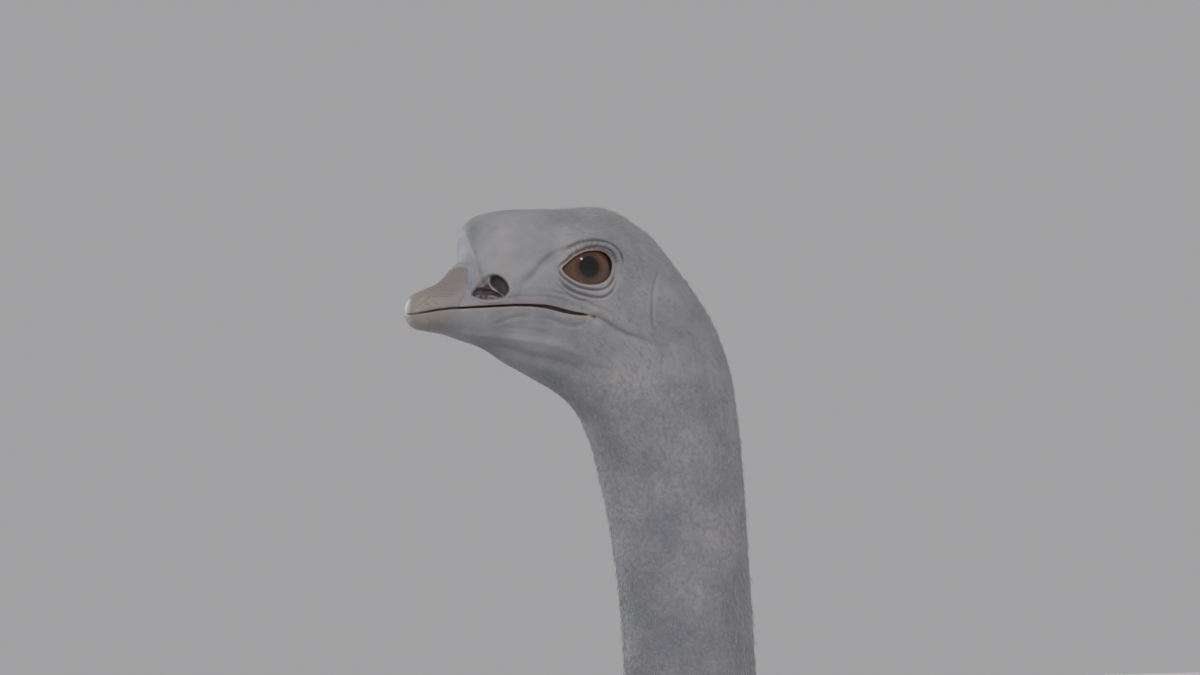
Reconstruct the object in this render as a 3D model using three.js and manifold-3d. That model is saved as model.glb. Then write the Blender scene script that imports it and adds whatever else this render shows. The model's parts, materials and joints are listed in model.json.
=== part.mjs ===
// Life-size standing ostrich (adult male), in named solids that meet with a thin gap.
// Millimetres, +Z up, the bird faces -Y, its mid-plane is X = 0 and its feet stand on Z = 0.
import * as THREE from "three";
import { mergeVertices } from "three/addons/utils/BufferGeometryUtils.js";
import Module from "manifold-3d";

const wasm = await Module();
wasm.setup();

// Driving dimensions. "Ahead" is measured towards the bill (-Y), "up" from the floor.
const eyeAhead = 576; // the eye centres' place along the bird
const eyeUp = 2300; // and their height
const gap = 0.4; // left between solids that meet
const flat = 0.15; // facets that bend by less than this are joined
const eye = { across: 25, deep: 20, out: 27.5 }; // radii of the flattened eyeball, and its place off centre
const orbit = { out: 53, deep: 12, long: 21, high: 15.5 }; // dish cut round each eye
const nostril = { ahead: 67.5, up: -15.5, out: 28, long: 12.5, high: 8.5, deep: 8, tilt: 0.2 };
const mouth = { gap: 1.2, gapeAhead: -3 }; // slit between the bill's halves, back to the gape
const stride = { left: 60, right: -70 }; // how far each foot is ahead of the even stance
const around = { head: 26, neck: 20, trunk: 24, wing: 16, tail: 16, leg: 14, toe: 12 };

// Each section is a ring that stands on an upper and a lower outline point, given as [ahead, up].
// half: half width; widest: height of the widest point; square: superellipse powers above and
// below it; out: how far the ring's middle is from the mid-plane.
function section(upper, lower, half, { widest, square = [2, 2], out = 0 } = {}) {
  const middle = (upper[1] + lower[1]) / 2;
  return [...upper, ...lower, half, widest ?? middle, ...square, out];
}

// Head and neck, as offsets from the eye centres.
const billAndHead = [
  section([123.5, -28], [122.5, -38], 6, { widest: -34.5, square: [2.3, 2.3] }), // bill tip
  section([119, -21.5], [116, -44.5], 11.5, { widest: -34.5, square: [2.3, 2.3] }),
  section([110, -16.5], [106, -46.5], 15.5, { widest: -34, square: [2.3, 2.2] }),
  section([99.5, -11.5], [95, -48], 18.5, { widest: -32.5, square: [2.1, 2.1] }),
  section([91, -3.5], [83, -51.5], 21, { widest: -31, square: [2, 2] }), // front of the nostril
  section([83.5, 4.5], [71, -55], 23, { widest: -29, square: [2, 1.9] }),
  section([79, 13], [62, -59], 25, { widest: -27, square: [2.4, 1.8] }), // foot of the forehead
  section([79.3, 27.5], [53, -64], 27.5, { widest: -24, square: [2.9, 1.8] }),
  section([73.3, 38.6], [44.5, -69], 31, { widest: -18, square: [2.9, 1.8] }), // forehead
  section([53, 43.5], [35, -73.5], 36, { widest: -12, square: [2.6, 1.8] }),
  section([30, 45.5], [25, -78.5], 41, { widest: -7, square: [2.4, 1.8] }),
  section([6, 47], [15, -83.5], 44.5, { widest: -3, square: [2.3, 1.8] }), // eye
  section([-15, 49.5], [6, -88.5], 45.5, { widest: -4, square: [2.2, 1.8] }),
  section([-33, 47.5], [-1, -93.5], 44.5, { widest: -10, square: [2.2, 1.9] }),
  section([-49, 40], [-7.5, -99], 43, { widest: -20, square: [2.2, 2] }), // ear
  section([-65.5, 29.8], [-14, -107.5], 42, { widest: -34, square: [2.1, 2] }),
  section([-81, 12.8], [-19, -118], 42, { widest: -50, square: [2.1, 2] }), // nape
  section([-98.5, -7.5], [-24, -130], 42.5, { widest: -70 }),
];
const neck = [
  section([-115.5, -32], [-28.5, -147], 43),
  section([-128, -63], [-33.5, -166], 44),
  section([-135, -101], [-38.5, -188], 44.5),
  section([-139.5, -145], [-43, -215], 44.5),
  section([-143, -200], [-47.5, -250], 44.5),
  section([-147, -262], [-51, -298], 44.5),
  section([-151, -330], [-54, -355], 44.5),
  section([-153, -400], [-57, -415], 45),
  section([-155, -480], [-59, -485], 46), // half-way down the neck
  section([-158, -570], [-60, -565], 47),
  section([-163, -660], [-60, -645], 49),
  section([-172, -750], [-60, -720], 53),
  section([-188, -835], [-60, -790], 59),
  section([-212, -905], [-62, -855], 66),
  section([-245, -970], [-68, -935], 74),
  section([-280, -1020], [-80, -1005], 82), // inside the breast
];

// The trunk out to the tips of its plumage, from the collar round the neck to the vent.
const trunkSections = [
  section([352, 1425], [492, 1428], 70),
  section([326, 1396], [506, 1350], 96),
  section([282, 1376], [520, 1245], 148),
  section([225, 1370], [512, 1125], 198),
  section([150, 1376], [465, 1000], 235),
  section([70, 1384], [365, 890], 256),
  section([-30, 1387], [200, 815], 265),
  section([-145, 1380], [30, 787], 265),
  section([-260, 1357], [-150, 800], 255),
  section([-370, 1305], [-310, 850], 225),
  section([-455, 1230], [-430, 925], 170),
  section([-510, 1150], [-505, 1000], 95),
  section([-532, 1090], [-530, 1050], 35),
];

// A folded wing with its hanging plumes, lying on the flank.
const wingSections = [
  section([372, 1200], [365, 1150], 18, { out: 205 }), // shoulder
  section([330, 1270], [300, 1060], 52, { out: 232 }),
  section([190, 1305], [150, 985], 62, { out: 255 }),
  section([20, 1298], [-30, 925], 66, { out: 262 }),
  section([-160, 1250], [-200, 870], 62, { out: 256 }),
  section([-310, 1155], [-330, 830], 55, { out: 236 }),
  section([-415, 1010], [-400, 840], 36, { out: 208 }),
  section([-445, 930], [-435, 885], 12, { out: 195 }), // tip of the white plumes
];

const tailSections = [
  section([-350, 1270], [-400, 1060], 90),
  section([-450, 1290], [-470, 985], 135),
  section([-560, 1250], [-540, 900], 165),
  section([-645, 1140], [-600, 820], 158),
  section([-690, 1000], [-640, 790], 125),
  section([-700.6, 900], [-666, 800], 70),
  section([-692, 850], [-674, 815], 22),
];

// One leg, for a foot with no stride. The drumstick runs from inside the plumage to the ankle.
const thighSections = [
  section([150, 1010], [-110, 1080], 80, { out: 112 }),
  section([158, 900], [-128, 985], 86, { out: 120 }),
  section([120, 800], [-152, 880], 77, { out: 120 }),
  section([45, 712], [-163, 778], 59, { out: 115 }),
  section([-40, 645], [-174, 692], 43, { out: 109 }),
  section([-84, 603], [-186, 630], 35, { out: 105 }),
  section([-98, 570], [-197, 588], 36.5, { out: 103 }), // ankle
];
const shankSections = [
  section([-98, 570], [-197, 588], 36.5, { out: 103 }), // ankle
  section([-100, 535], [-190, 540], 33, { out: 102 }),
  section([-96, 497], [-166, 495], 26, { out: 101 }),
  section([-80, 400], [-137, 394], 22.5, { out: 100 }),
  section([-56, 250], [-110, 244], 22, { out: 99 }),
  section([-30, 140], [-90, 134], 24, { out: 98 }),
  section([-6, 88], [-84, 74], 30, { out: 97 }),
  section([5, 45], [-85, 30], 30, { out: 97 }), // inside the big toe
];
const bigToeSections = [
  section([-97, 48], [-99, 14], 13, { out: 97, square: [2.2, 3] }), // heel
  section([-84, 78], [-86, -3], 27, { out: 97, square: [2.2, 3] }),
  section([-50, 92], [-50, -3], 32.5, { out: 97, square: [2.2, 3.2] }),
  section([-8, 74], [-10, -3], 31, { out: 97, square: [2.2, 3.4] }),
  section([32, 60], [30, -3], 29.5, { out: 96, square: [2.2, 3.4] }),
  section([70, 53], [70, -3], 29, { out: 94, square: [2.2, 3.4] }),
  section([100, 45], [102, -3], 26, { out: 92, square: [2.2, 3.2] }),
  section([120, 33], [122, -2], 19, { out: 91, square: [2.2, 3] }),
  section([130, 20], [131, 6], 8, { out: 91, square: [2.2, 2.6] }),
];
const smallToeSections = [
  section([-70, 42], [-72, 2], 12, { out: 113, square: [2.2, 3] }),
  section([-55, 52], [-57, -3], 19, { out: 120, square: [2.2, 3.2] }),
  section([-20, 46], [-20, -3], 19, { out: 137, square: [2.2, 3.4] }),
  section([15, 38], [15, -3], 18, { out: 153, square: [2.2, 3.4] }),
  section([42, 33], [43, -3], 16.5, { out: 164, square: [2.2, 3.2] }),
  section([58, 24], [59, -1], 11, { out: 171, square: [2.2, 3] }),
  section([64, 14], [64.5, 6], 4, { out: 173, square: [2.2, 2.6] }),
];
const clawSections = [
  section([96, 40], [99, 14], 12, { out: 92 }),
  section([124, 37], [126, 6], 12.5, { out: 91 }),
  section([146, 27], [147, 3], 10, { out: 90 }),
  section([161, 15], [161, 1.5], 6, { out: 89.5 }),
  section([168, 7], [168, 2], 2.2, { out: 89 }),
];

// Smooth values between sections: a cubic through the rows, with its slope from the rows beside.
function rowAt(rows, s) {
  const last = rows.length - 1;
  const i = Math.min(Math.floor(s), last - 1);
  const f = s - i;
  const before = rows[Math.max(i - 1, 0)];
  const [from, to] = [rows[i], rows[i + 1]];
  const after = rows[Math.min(i + 2, last)];
  return from.map((a, c) => {
    const b = to[c];
    const slopeA = (b - before[c]) / (i > 0 ? 2 : 1);
    const slopeB = (after[c] - a) / (i + 1 < last ? 2 : 1);
    const cubic = 2 * f ** 3 - 3 * f ** 2;
    return (
      (cubic + 1) * a + (f ** 3 - 2 * f ** 2 + f) * slopeA - cubic * b + (f ** 3 - f ** 2) * slopeB
    );
  });
}

// The points of one ring, grown outwards by `grow`.
function ringPoints(row, count, { side = 1, ahead = 0, up = 0, grow = 0 }) {
  const [upperAhead, upperUp, lowerAhead, lowerUp, half, widest, above, below, out] = row;
  const upper = new THREE.Vector2(upperAhead, upperUp);
  const lower = new THREE.Vector2(lowerAhead, lowerUp);
  const along = upper.clone().sub(lower).normalize().multiplyScalar(grow);
  upper.add(along);
  lower.sub(along);
  const share = THREE.MathUtils.clamp((widest - lower.y) / (upper.y - lower.y), 0.1, 0.9);
  const middle = lower.clone().lerp(upper, Math.abs(upper.y - lower.y) < 1 ? 0.5 : share);
  const points = [];
  for (let k = 0; k < count; k++) {
    const turn = (k / count) * 2 * Math.PI;
    const [c, s] = [Math.cos(turn), Math.sin(turn)];
    const power = 2 / (c >= 0 ? above : below);
    const x = Math.sign(s) * Math.abs(s) ** power * (half + grow);
    const place = middle.clone().lerp(c >= 0 ? upper : lower, Math.abs(c) ** power);
    points.push(new THREE.Vector3(side * (x + out), -(place.x + ahead), place.y + up));
  }
  return points;
}

function middleOf(points, first, count) {
  const sum = new THREE.Vector3();
  for (const point of points.slice(first, first + count)) sum.add(point);
  return sum.divideScalar(count);
}
// Moves an end ring away from the ring inside it.
function pushOut(points, end, inner, count, distance) {
  const away = middleOf(points, end, count).sub(middleOf(points, inner, count)).setLength(distance);
  for (const point of points.slice(end, end + count)) point.add(away);
}
function signedVolume(points, faces) {
  const corner = new THREE.Vector3();
  let volume = 0;
  for (let f = 0; f < faces.length; f += 3) {
    const [a, b, c] = [points[faces[f]], points[faces[f + 1]], points[faces[f + 2]]];
    volume += corner.crossVectors(b, c).dot(a) / 6;
  }
  return volume;
}

// A closed solid through the sections from station `from` to station `to`.
function loft(rows, count, options = {}) {
  const { from = 0, to = rows.length - 1, rings = 1.5 * (to - from) } = options;
  const steps = Math.max(2, Math.round(rings));
  const points = [];
  for (let i = 0; i <= steps; i++) {
    const s = THREE.MathUtils.lerp(from, to, i / steps);
    points.push(...ringPoints(rowAt(rows, s), count, options));
  }
  if (options.grow) {
    pushOut(points, 0, count, count, options.grow);
    pushOut(points, steps * count, (steps - 1) * count, count, options.grow);
  }
  const faces = [];
  for (let i = 0; i < steps; i++)
    for (let k = 0; k < count; k++) {
      const next = (k + 1) % count;
      const [a, b] = [i * count + k, i * count + next];
      const [c, d] = [a + count, b + count];
      faces.push(a, c, b, b, c, d);
    }
  for (const [first, flip] of [[0, false], [steps * count, true]]) {
    points.push(middleOf(points, first, count));
    for (let k = 0; k < count; k++) {
      const edge = [first + k, first + ((k + 1) % count)];
      if (flip) edge.reverse();
      faces.push(points.length - 1, ...edge);
    }
  }
  if (signedVolume(points, faces) < 0) faces.reverse();
  const geometry = new THREE.BufferGeometry().setFromPoints(points);
  geometry.setIndex(faces);
  return geometry;
}

// Between three.js geometry and manifold solids.
function solid(geometry) {
  const bare = geometry.clone();
  bare.deleteAttribute("normal");
  bare.deleteAttribute("uv");
  const merged = mergeVertices(bare, 1e-3);
  const made = new wasm.Manifold(
    new wasm.Mesh({
      numProp: 3,
      vertProperties: new Float32Array(merged.attributes.position.array),
      triVerts: new Uint32Array(merged.index.array),
    }),
  );
  return made;
}
function geometryOf(made) {
  const { vertProperties, triVerts } = made.getMesh();
  const geometry = new THREE.BufferGeometry();
  geometry.setAttribute("position", new THREE.BufferAttribute(vertProperties, 3));
  geometry.setIndex(new THREE.BufferAttribute(triVerts, 1));
  geometry.computeVertexNormals();
  return geometry;
}
function ball(centre, radii, turn = 0, fine = 16) {
  const geometry = new THREE.SphereGeometry(1, fine, Math.round(fine * 0.6));
  geometry.scale(...radii).rotateX(turn).translate(...centre);
  return solid(geometry);
}
function block(low, high) {
  const size = high.map((h, i) => h - low[i]);
  const geometry = new THREE.BoxGeometry(...size);
  geometry.translate(...low.map((l, i) => l + size[i] / 2));
  return solid(geometry);
}

const materials = {
  skin: new THREE.MeshStandardMaterial({ color: 0x8a8788, roughness: 0.6 }),
  horn: new THREE.MeshStandardMaterial({ color: 0x9a9084, roughness: 0.4 }),
  eye: new THREE.MeshStandardMaterial({ color: 0x2a1a10, roughness: 0.05 }),
  blackPlumage: new THREE.MeshStandardMaterial({ color: 0x1c1a1b, roughness: 0.8 }),
  whitePlumage: new THREE.MeshStandardMaterial({ color: 0xe6e1d8, roughness: 0.8 }),
  claw: new THREE.MeshStandardMaterial({ color: 0x4a4440, roughness: 0.35 }),
};
const bird = new THREE.Group();
function add(name, made, material) {
  const mesh = new THREE.Mesh(geometryOf(made.asOriginal().simplify(flat)), material);
  mesh.name = name;
  bird.add(mesh);
}

// Head, bill and neck are one loft, parted across the rings.
const headAndNeck = [...billAndHead, ...neck];
const station = { bill: 4.4, neckTop: 17, neckMiddle: 25, neckLow: 29, breast: 32.6 };
const partGap = 0.03; // in stations, so a gap of a few tenths of a millimetre
const fromEye = { ahead: eyeAhead, up: eyeUp };

function headPiece(from, to, count, rings) {
  return solid(loft(headAndNeck, count, { ...fromEye, from: from + partGap, to: to - partGap, rings }));
}

// The mouth line, from ahead of the bill tip back to the gape, as [ahead, up] from the eye.
const mouthLine = new THREE.SplineCurve(
  [[132, -36.2], [116, -34.4], [92, -31.6], [66, -29.4], [40, -28.3], [20, -29.6], [mouth.gapeAhead, -34.5]].map(
    ([ahead, up]) => new THREE.Vector2(-(ahead + eyeAhead), up + eyeUp),
  ),
).getPoints(9);

// A slab across the bird that follows the mouth line, `above` and `below` it.
function mouthSlab(above, below) {
  const outline = new THREE.Shape([
    ...mouthLine.map((p) => new THREE.Vector2(p.x, p.y + above)),
    ...mouthLine.toReversed().map((p) => new THREE.Vector2(p.x, p.y - below)),
  ]);
  const halfSpan = 80;
  const slab = new THREE.ExtrudeGeometry(outline, { depth: 2 * halfSpan, bevelEnabled: false });
  slab.translate(0, 0, -halfSpan);
  // Shape X runs along Y and shape Y along Z, so the extrusion runs across the bird.
  slab.applyMatrix4(new THREE.Matrix4().set(0, 0, 1, 0, 1, 0, 0, 0, 0, 1, 0, 0, 0, 0, 0, 1));
  return solid(slab);
}

function eyeCentre(side) {
  return [side * eye.out, -eyeAhead, eyeUp];
}
function buildBill() {
  const whole = solid(loft(headAndNeck, around.head, { ...fromEye, to: station.bill - partGap, rings: 10 }));
  const tall = 200;
  add("bill_upper", whole.subtract(mouthSlab(mouth.gap / 2, tall)), materials.horn);
  add("bill_lower", whole.subtract(mouthSlab(tall, mouth.gap / 2)), materials.horn);
}
function buildHead() {
  let head = headPiece(station.bill, station.neckTop, around.head, 22);
  head = head.subtract(mouthSlab(mouth.gap / 2, mouth.gap / 2));
  for (const side of [1, -1]) {
    const [x, y, z] = eyeCentre(side);
    head = head.subtract(ball([side * orbit.out, y, z], [orbit.deep, orbit.long, orbit.high], 0, 16));
    head = head.subtract(ball([x, y, z], [eye.deep + gap, eye.across + gap, eye.across + gap]));
    const nostrilPlace = [side * nostril.out, -(eyeAhead + nostril.ahead), eyeUp + nostril.up];
    head = head.subtract(ball(nostrilPlace, [nostril.deep, nostril.long, nostril.high], nostril.tilt, 10));
  }
  add("head", head, materials.skin);
}
function buildEyes() {
  for (const [name, side] of [["eye_left", 1], ["eye_right", -1]])
    add(name, ball(eyeCentre(side), [eye.deep, eye.across, eye.across]), materials.eye);
}
function buildNeck() {
  add("neck_upper", headPiece(station.neckTop, station.neckMiddle, around.neck, 11), materials.skin);
  add("neck_middle", headPiece(station.neckMiddle, station.neckLow, around.neck, 5), materials.skin);
  const low = headPiece(station.neckLow, station.breast, around.neck, 7);
  add("neck_lower", low.subtract(trunk(gap)), materials.skin);
}
function trunk(grow = 0) {
  return solid(loft(trunkSections, around.trunk, { grow }));
}
function buildTrunk() {
  add("trunk", trunk(), materials.blackPlumage);
}
function wing(side, grow = 0) {
  return solid(loft(wingSections, around.wing, { side, grow })).subtract(trunk(gap));
}
function buildWings() {
  add("wing_left", wing(1), materials.whitePlumage);
  add("wing_right", wing(-1), materials.whitePlumage);
}
function buildTail() {
  const plumes = solid(loft(tailSections, around.tail)).subtract(trunk(gap));
  add("tail", plumes.subtract(wing(1, gap)).subtract(wing(-1, gap)), materials.whitePlumage);
}

// The legs. Everything above the floor is kept, so the soles are flat at Z = 0.
const floorCut = block([-600, -600, -60], [600, 600, 0]);
function buildLeg(name, side, ahead) {
  const placed = { side, ahead };
  const piece = (rows, count, grow = 0) => solid(loft(rows, count, { ...placed, grow }));
  const thigh = solid(loft(thighSections, around.leg, { ...placed, to: thighSections.length - 1 - partGap }));
  add(
    `thigh_${name}`,
    thigh.subtract(trunk(gap)).subtract(wing(side, gap)),
    materials.skin,
  );
  const bigToe = piece(bigToeSections, around.toe);
  const shank = piece(shankSections, around.leg);
  add(`shank_${name}`, shank.subtract(piece(bigToeSections, around.toe, gap)), materials.skin);
  const claw = piece(clawSections, around.toe);
  const clawRoom = piece(clawSections, around.toe, gap);
  add(`toe_big_${name}`, bigToe.subtract(clawRoom).subtract(floorCut), materials.skin);
  add(`claw_${name}`, claw.subtract(floorCut), materials.claw);
  const smallToe = piece(smallToeSections, around.toe).subtract(piece(bigToeSections, around.toe, gap));
  const cleared = smallToe.subtract(piece(shankSections, around.leg, gap));
  add(`toe_small_${name}`, cleared.subtract(floorCut), materials.skin);
}

buildBill();
buildHead();
buildEyes();
buildNeck();
buildTrunk();
buildWings();
buildTail();
buildLeg("left", 1, stride.left);
buildLeg("right", -1, stride.right);

export default bird;
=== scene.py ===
import json
import math

import bmesh
import bpy
import numpy as np
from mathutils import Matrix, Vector
from mathutils.bvhtree import BVHTree
from mathutils.kdtree import KDTree

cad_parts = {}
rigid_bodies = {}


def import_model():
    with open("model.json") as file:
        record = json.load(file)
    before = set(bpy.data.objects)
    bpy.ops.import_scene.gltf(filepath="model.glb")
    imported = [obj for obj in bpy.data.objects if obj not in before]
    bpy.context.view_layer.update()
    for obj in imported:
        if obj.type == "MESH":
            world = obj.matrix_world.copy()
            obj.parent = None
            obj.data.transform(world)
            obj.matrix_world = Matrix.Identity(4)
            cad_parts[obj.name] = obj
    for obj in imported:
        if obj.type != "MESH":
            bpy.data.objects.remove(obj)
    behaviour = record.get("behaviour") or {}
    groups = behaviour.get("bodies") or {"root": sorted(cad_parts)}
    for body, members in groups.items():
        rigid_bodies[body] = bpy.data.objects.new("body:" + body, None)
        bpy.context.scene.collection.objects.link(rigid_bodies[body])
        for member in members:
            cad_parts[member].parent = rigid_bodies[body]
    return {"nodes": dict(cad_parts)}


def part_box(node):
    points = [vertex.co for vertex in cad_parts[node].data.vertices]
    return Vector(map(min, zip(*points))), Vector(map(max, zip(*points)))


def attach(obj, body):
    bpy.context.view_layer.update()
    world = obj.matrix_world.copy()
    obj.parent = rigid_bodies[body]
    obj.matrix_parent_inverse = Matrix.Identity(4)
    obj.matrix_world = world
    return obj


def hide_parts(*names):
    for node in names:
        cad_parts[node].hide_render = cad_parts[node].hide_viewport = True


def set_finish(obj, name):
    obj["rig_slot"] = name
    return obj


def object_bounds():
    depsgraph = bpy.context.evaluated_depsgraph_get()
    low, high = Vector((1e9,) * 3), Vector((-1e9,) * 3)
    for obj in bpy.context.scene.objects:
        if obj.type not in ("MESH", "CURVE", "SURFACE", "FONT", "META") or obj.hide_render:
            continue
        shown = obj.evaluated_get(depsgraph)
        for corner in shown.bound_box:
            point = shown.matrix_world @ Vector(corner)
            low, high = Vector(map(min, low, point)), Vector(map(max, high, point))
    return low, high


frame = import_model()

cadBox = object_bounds()
scene = bpy.context.scene
# Shapes of the bird are worked out in millimetres, as x, ahead and up from the point midway between
# the eyes, and go into the meshes in metres, in the frame of the CAD.
eyeLow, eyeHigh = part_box("eye_left")
eyeMiddle = (eyeLow + eyeHigh) / 2
eyeOut = eyeMiddle.x * 1000
eyeDeep = (eyeHigh.x - eyeLow.x) * 500
eyeAcross = (eyeHigh.y - eyeLow.y) * 500


def toWorld(points):
    points = np.asarray(points, float)
    world = np.empty_like(points)
    world[..., 0] = points[..., 0] * 0.001
    world[..., 1] = eyeMiddle.y - points[..., 1] * 0.001
    world[..., 2] = eyeMiddle.z + points[..., 2] * 0.001
    return world


def toLocal(world):
    ways = world[:, 0] * 1000, (eyeMiddle.y - world[:, 1]) * 1000, (world[:, 2] - eyeMiddle.z) * 1000
    return np.column_stack(ways)


def newObject(name, mesh):
    piece = bpy.data.objects.new(name, mesh)
    scene.collection.objects.link(piece)
    return piece


def smoothStep(low, high, value):
    t = np.clip((value - low) / (high - low), 0, 1)
    return t * t * (3 - 2 * t)


def unit(vectors):
    return vectors / np.maximum(np.linalg.norm(vectors, axis=-1, keepdims=True), 1e-9)


# Camera and studio.
view = {
    "azimuth": 68, "elevation": -5, "lens": 70, "sensor": 36, "distance": 1.68,
    "eyeOut": 0.045, "aimRight": 0.00864, "aimDown": 0.05076, "near": 0.05, "far": 100,
}


def makeCamera():
    azimuth, elevation = math.radians(view["azimuth"]), math.radians(view["elevation"])
    level = math.cos(elevation)
    back = Vector((math.sin(azimuth) * level, -math.cos(azimuth) * level, math.sin(elevation)))
    right = (-back).cross(Vector((0, 0, 1))).normalized()
    up = right.cross(-back)
    eyeSurface = eyeMiddle + Vector((view["eyeOut"] - eyeMiddle.x, 0, 0))
    aim = eyeSurface + right * view["aimRight"] - up * view["aimDown"]
    data = bpy.data.cameras.new("studioCamera")
    data.lens = view["lens"]
    data.sensor_width = view["sensor"]
    data.clip_start = view["near"]
    data.clip_end = view["far"]
    camera = newObject("studioCamera", data)
    camera.location = aim + back * view["distance"]
    camera.rotation_euler = (-back).to_track_quat("-Z", "Y").to_euler()
    scene.camera = camera


def makeLamp(name, kind, place, aim, power, **looks):
    data = bpy.data.lights.new(name, kind)
    data.energy = power
    for key, value in looks.items():
        setattr(data, key, value)
    lamp = newObject(name, data)
    lamp.location = place
    lamp.rotation_euler = (Vector(aim) - Vector(place)).to_track_quat("-Z", "Y").to_euler()
    return lamp


studio = {
    "grey": 0.36, "floor": 30, "paper": (0.62, 0.62, 0.63, 1),
    # Lamps on the head: place, size, power and colour.
    "discs": {
        "keyLamp": ((1.1, -3.2, 3.1), 1.6, 17, (1, 1, 1)),
        "rimLamp": ((-1.8, -1.9, 2.7), 2.0, 24, (0.92, 0.96, 1)),
        "eyeLamp": ((2.4, -0.92, 3.95), 0.44, 6, (1, 1, 1)),
    },
    # Wide soft lights that reach the whole bird and the floor evenly: place and power.
    "suns": {"softSun": ((2.6, -0.3, 1.2), 1.9), "backSun": ((-2.2, 2.0, 1.9), 0.75)},
    "sunSpread": 70,
}


def makeStudio():
    mesh = bpy.data.meshes.new("studioFloor")
    bm = bmesh.new()
    bmesh.ops.create_grid(bm, x_segments=1, y_segments=1, size=studio["floor"])
    bm.to_mesh(mesh)
    bm.free()
    floor = newObject("studioFloor", mesh)
    mesh.materials.append(newMaterial("palePaper", {"Base Color": studio["paper"], "Roughness": 0.9})[0])
    world = bpy.data.worlds.new("studioAir")
    world.use_nodes = True
    air = world.node_tree.nodes["Background"]
    air.inputs["Color"].default_value = (studio["grey"], studio["grey"], studio["grey"] * 1.02, 1)
    air.inputs["Strength"].default_value = 1.0
    scene.world = world
    head = (0, eyeMiddle.y, eyeMiddle.z)
    for name, (place, size, power, colour) in studio["discs"].items():
        makeLamp(name, "AREA", place, head, power, shape="DISK", size=size, color=colour)
    for name, (place, power) in studio["suns"].items():
        sun = makeLamp(name, "SUN", place, (0, 0, 0), power, angle=math.radians(studio["sunSpread"]))
        sun.visible_glossy = False
    scene.view_settings.view_transform = "Standard"
    print("studio: camera, lamps and floor")


def limbRows(sections, above=2.0):
    # Rows like the head's from an upper point, a lower point and a half width, widest halfway up.
    # A sixth number is how far out from the middle of the bird the ring stands, and a seventh its
    # roundness below.
    rows = [[*row[:5], (row[1] + row[3]) / 2, above, *(row[6:] or (2.0,)), *row[5:6]] for row in sections]
    return np.array(rows, float)


def ringMiddles(rows, out, shape):
    ahead, up = (rows[:, 0] + rows[:, 2]) / 2, (rows[:, 1] + rows[:, 3]) / 2
    return np.column_stack([np.zeros(len(rows)) + out, ahead, up]).reshape(*shape, 3)


# The outline of head and neck.
# Each row: upper outline point, lower outline point (both ahead, up), half width, height of the
# widest place, and the roundness above and below it.
headSections = np.array([
    [123.5, -28, 122.5, -38, 6, -34.5, 2.3, 2.3],  # bill tip
    [119, -21.5, 116, -44.5, 11.5, -34.5, 2.3, 2.3],
    [110, -16.5, 106, -46.5, 15.5, -34, 2.3, 2.2],
    [99.5, -11.5, 95, -48, 18.5, -32.5, 2.1, 2.1],
    [91, -3.5, 83, -51.5, 21, -31, 2, 2],  # front of the nostril
    [83.5, 4.5, 71, -55, 23, -29, 2, 1.9],
    [80.2, 14.2, 62, -59, 25, -27, 2.1, 1.8],  # foot of the forehead
    [81.4, 26.6, 53, -64, 28, -24, 2.15, 1.8],
    [72.8, 37.4, 44.5, -69, 31.5, -18, 2.25, 1.8],  # forehead
    [53, 43.5, 35, -73.5, 36, -12, 2.45, 1.8],
    [30, 45.5, 25, -78.5, 41, -7, 2.4, 1.8],
    [6, 47, 15, -83.5, 44.5, -3, 2.3, 1.8],  # eye
    [-15, 49.5, 6, -88.5, 45.5, -4, 2.2, 1.8],
    [-33, 47.5, -1, -93.5, 44.5, -10, 2.2, 1.9],
    [-49, 40, -7.5, -99, 43, -20, 2.2, 2],  # ear
    [-65.5, 29.8, -14, -107.5, 42, -34, 2.1, 2],
    [-81, 12.8, -19, -118, 42, -50, 2.1, 2],  # nape
    [-98.5, -7.5, -24, -130, 42.5, -70, 2.05, 2],
])
neckRows = limbRows([
    (-115.5, -32, -28.5, -147, 43), (-128, -63, -33.5, -166, 44), (-135, -101, -38.5, -188, 44.5),
    (-139.5, -145, -43, -215, 44.5), (-143, -200, -47.5, -250, 44.5), (-147, -262, -51, -298, 44.5),
    (-151, -330, -54, -355, 44.5), (-153, -400, -57, -415, 45), (-155, -480, -59, -485, 46),
    (-158, -570, -60, -565, 47), (-163, -660, -60, -645, 49), (-172, -750, -60, -720, 53),
    (-188, -835, -60, -790, 59), (-212, -905, -66, -862, 62),
    # From here the trunk, under its plumage.
    (-246, -956, -84, -942, 76), (-296, -973, -98, -1030, 112), (-356, -982, -106, -1120, 152),
    (-430, -978, -130, -1220, 180), (-510, -972, -190, -1310, 198), (-600, -970, -300, -1380, 205),
    (-710, -974, -480, -1418, 205), (-820, -998, -680, -1410, 195), (-925, -1048, -860, -1370, 165),
    (-1010, -1140, -985, -1290, 115), (-1060, -1190, -1052, -1240, 50),
])  # neck and trunk, each ring widest halfway up
headRows = np.concatenate([headSections, neckRows])
mouthLine = np.array([
    (124, -36), (116, -34.6), (104, -32.2), (95, -30.9), (87, -30.5), (76, -29.7), (64, -29.2), (51, -28.4),
    (40, -28.4), (30, -29.1), (22, -30.7), (15, -32.4), (8, -33.6), (0, -34.3), (-4, -35), (-12.6, -37.6),
    (-18.6, -40.8), (-26, -45), (-34, -47.9), (-42, -50.2), (-51, -53.7), (-60, -58),
])  # from the bill tip back to the gape, then down the furrow of the jaw


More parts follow.
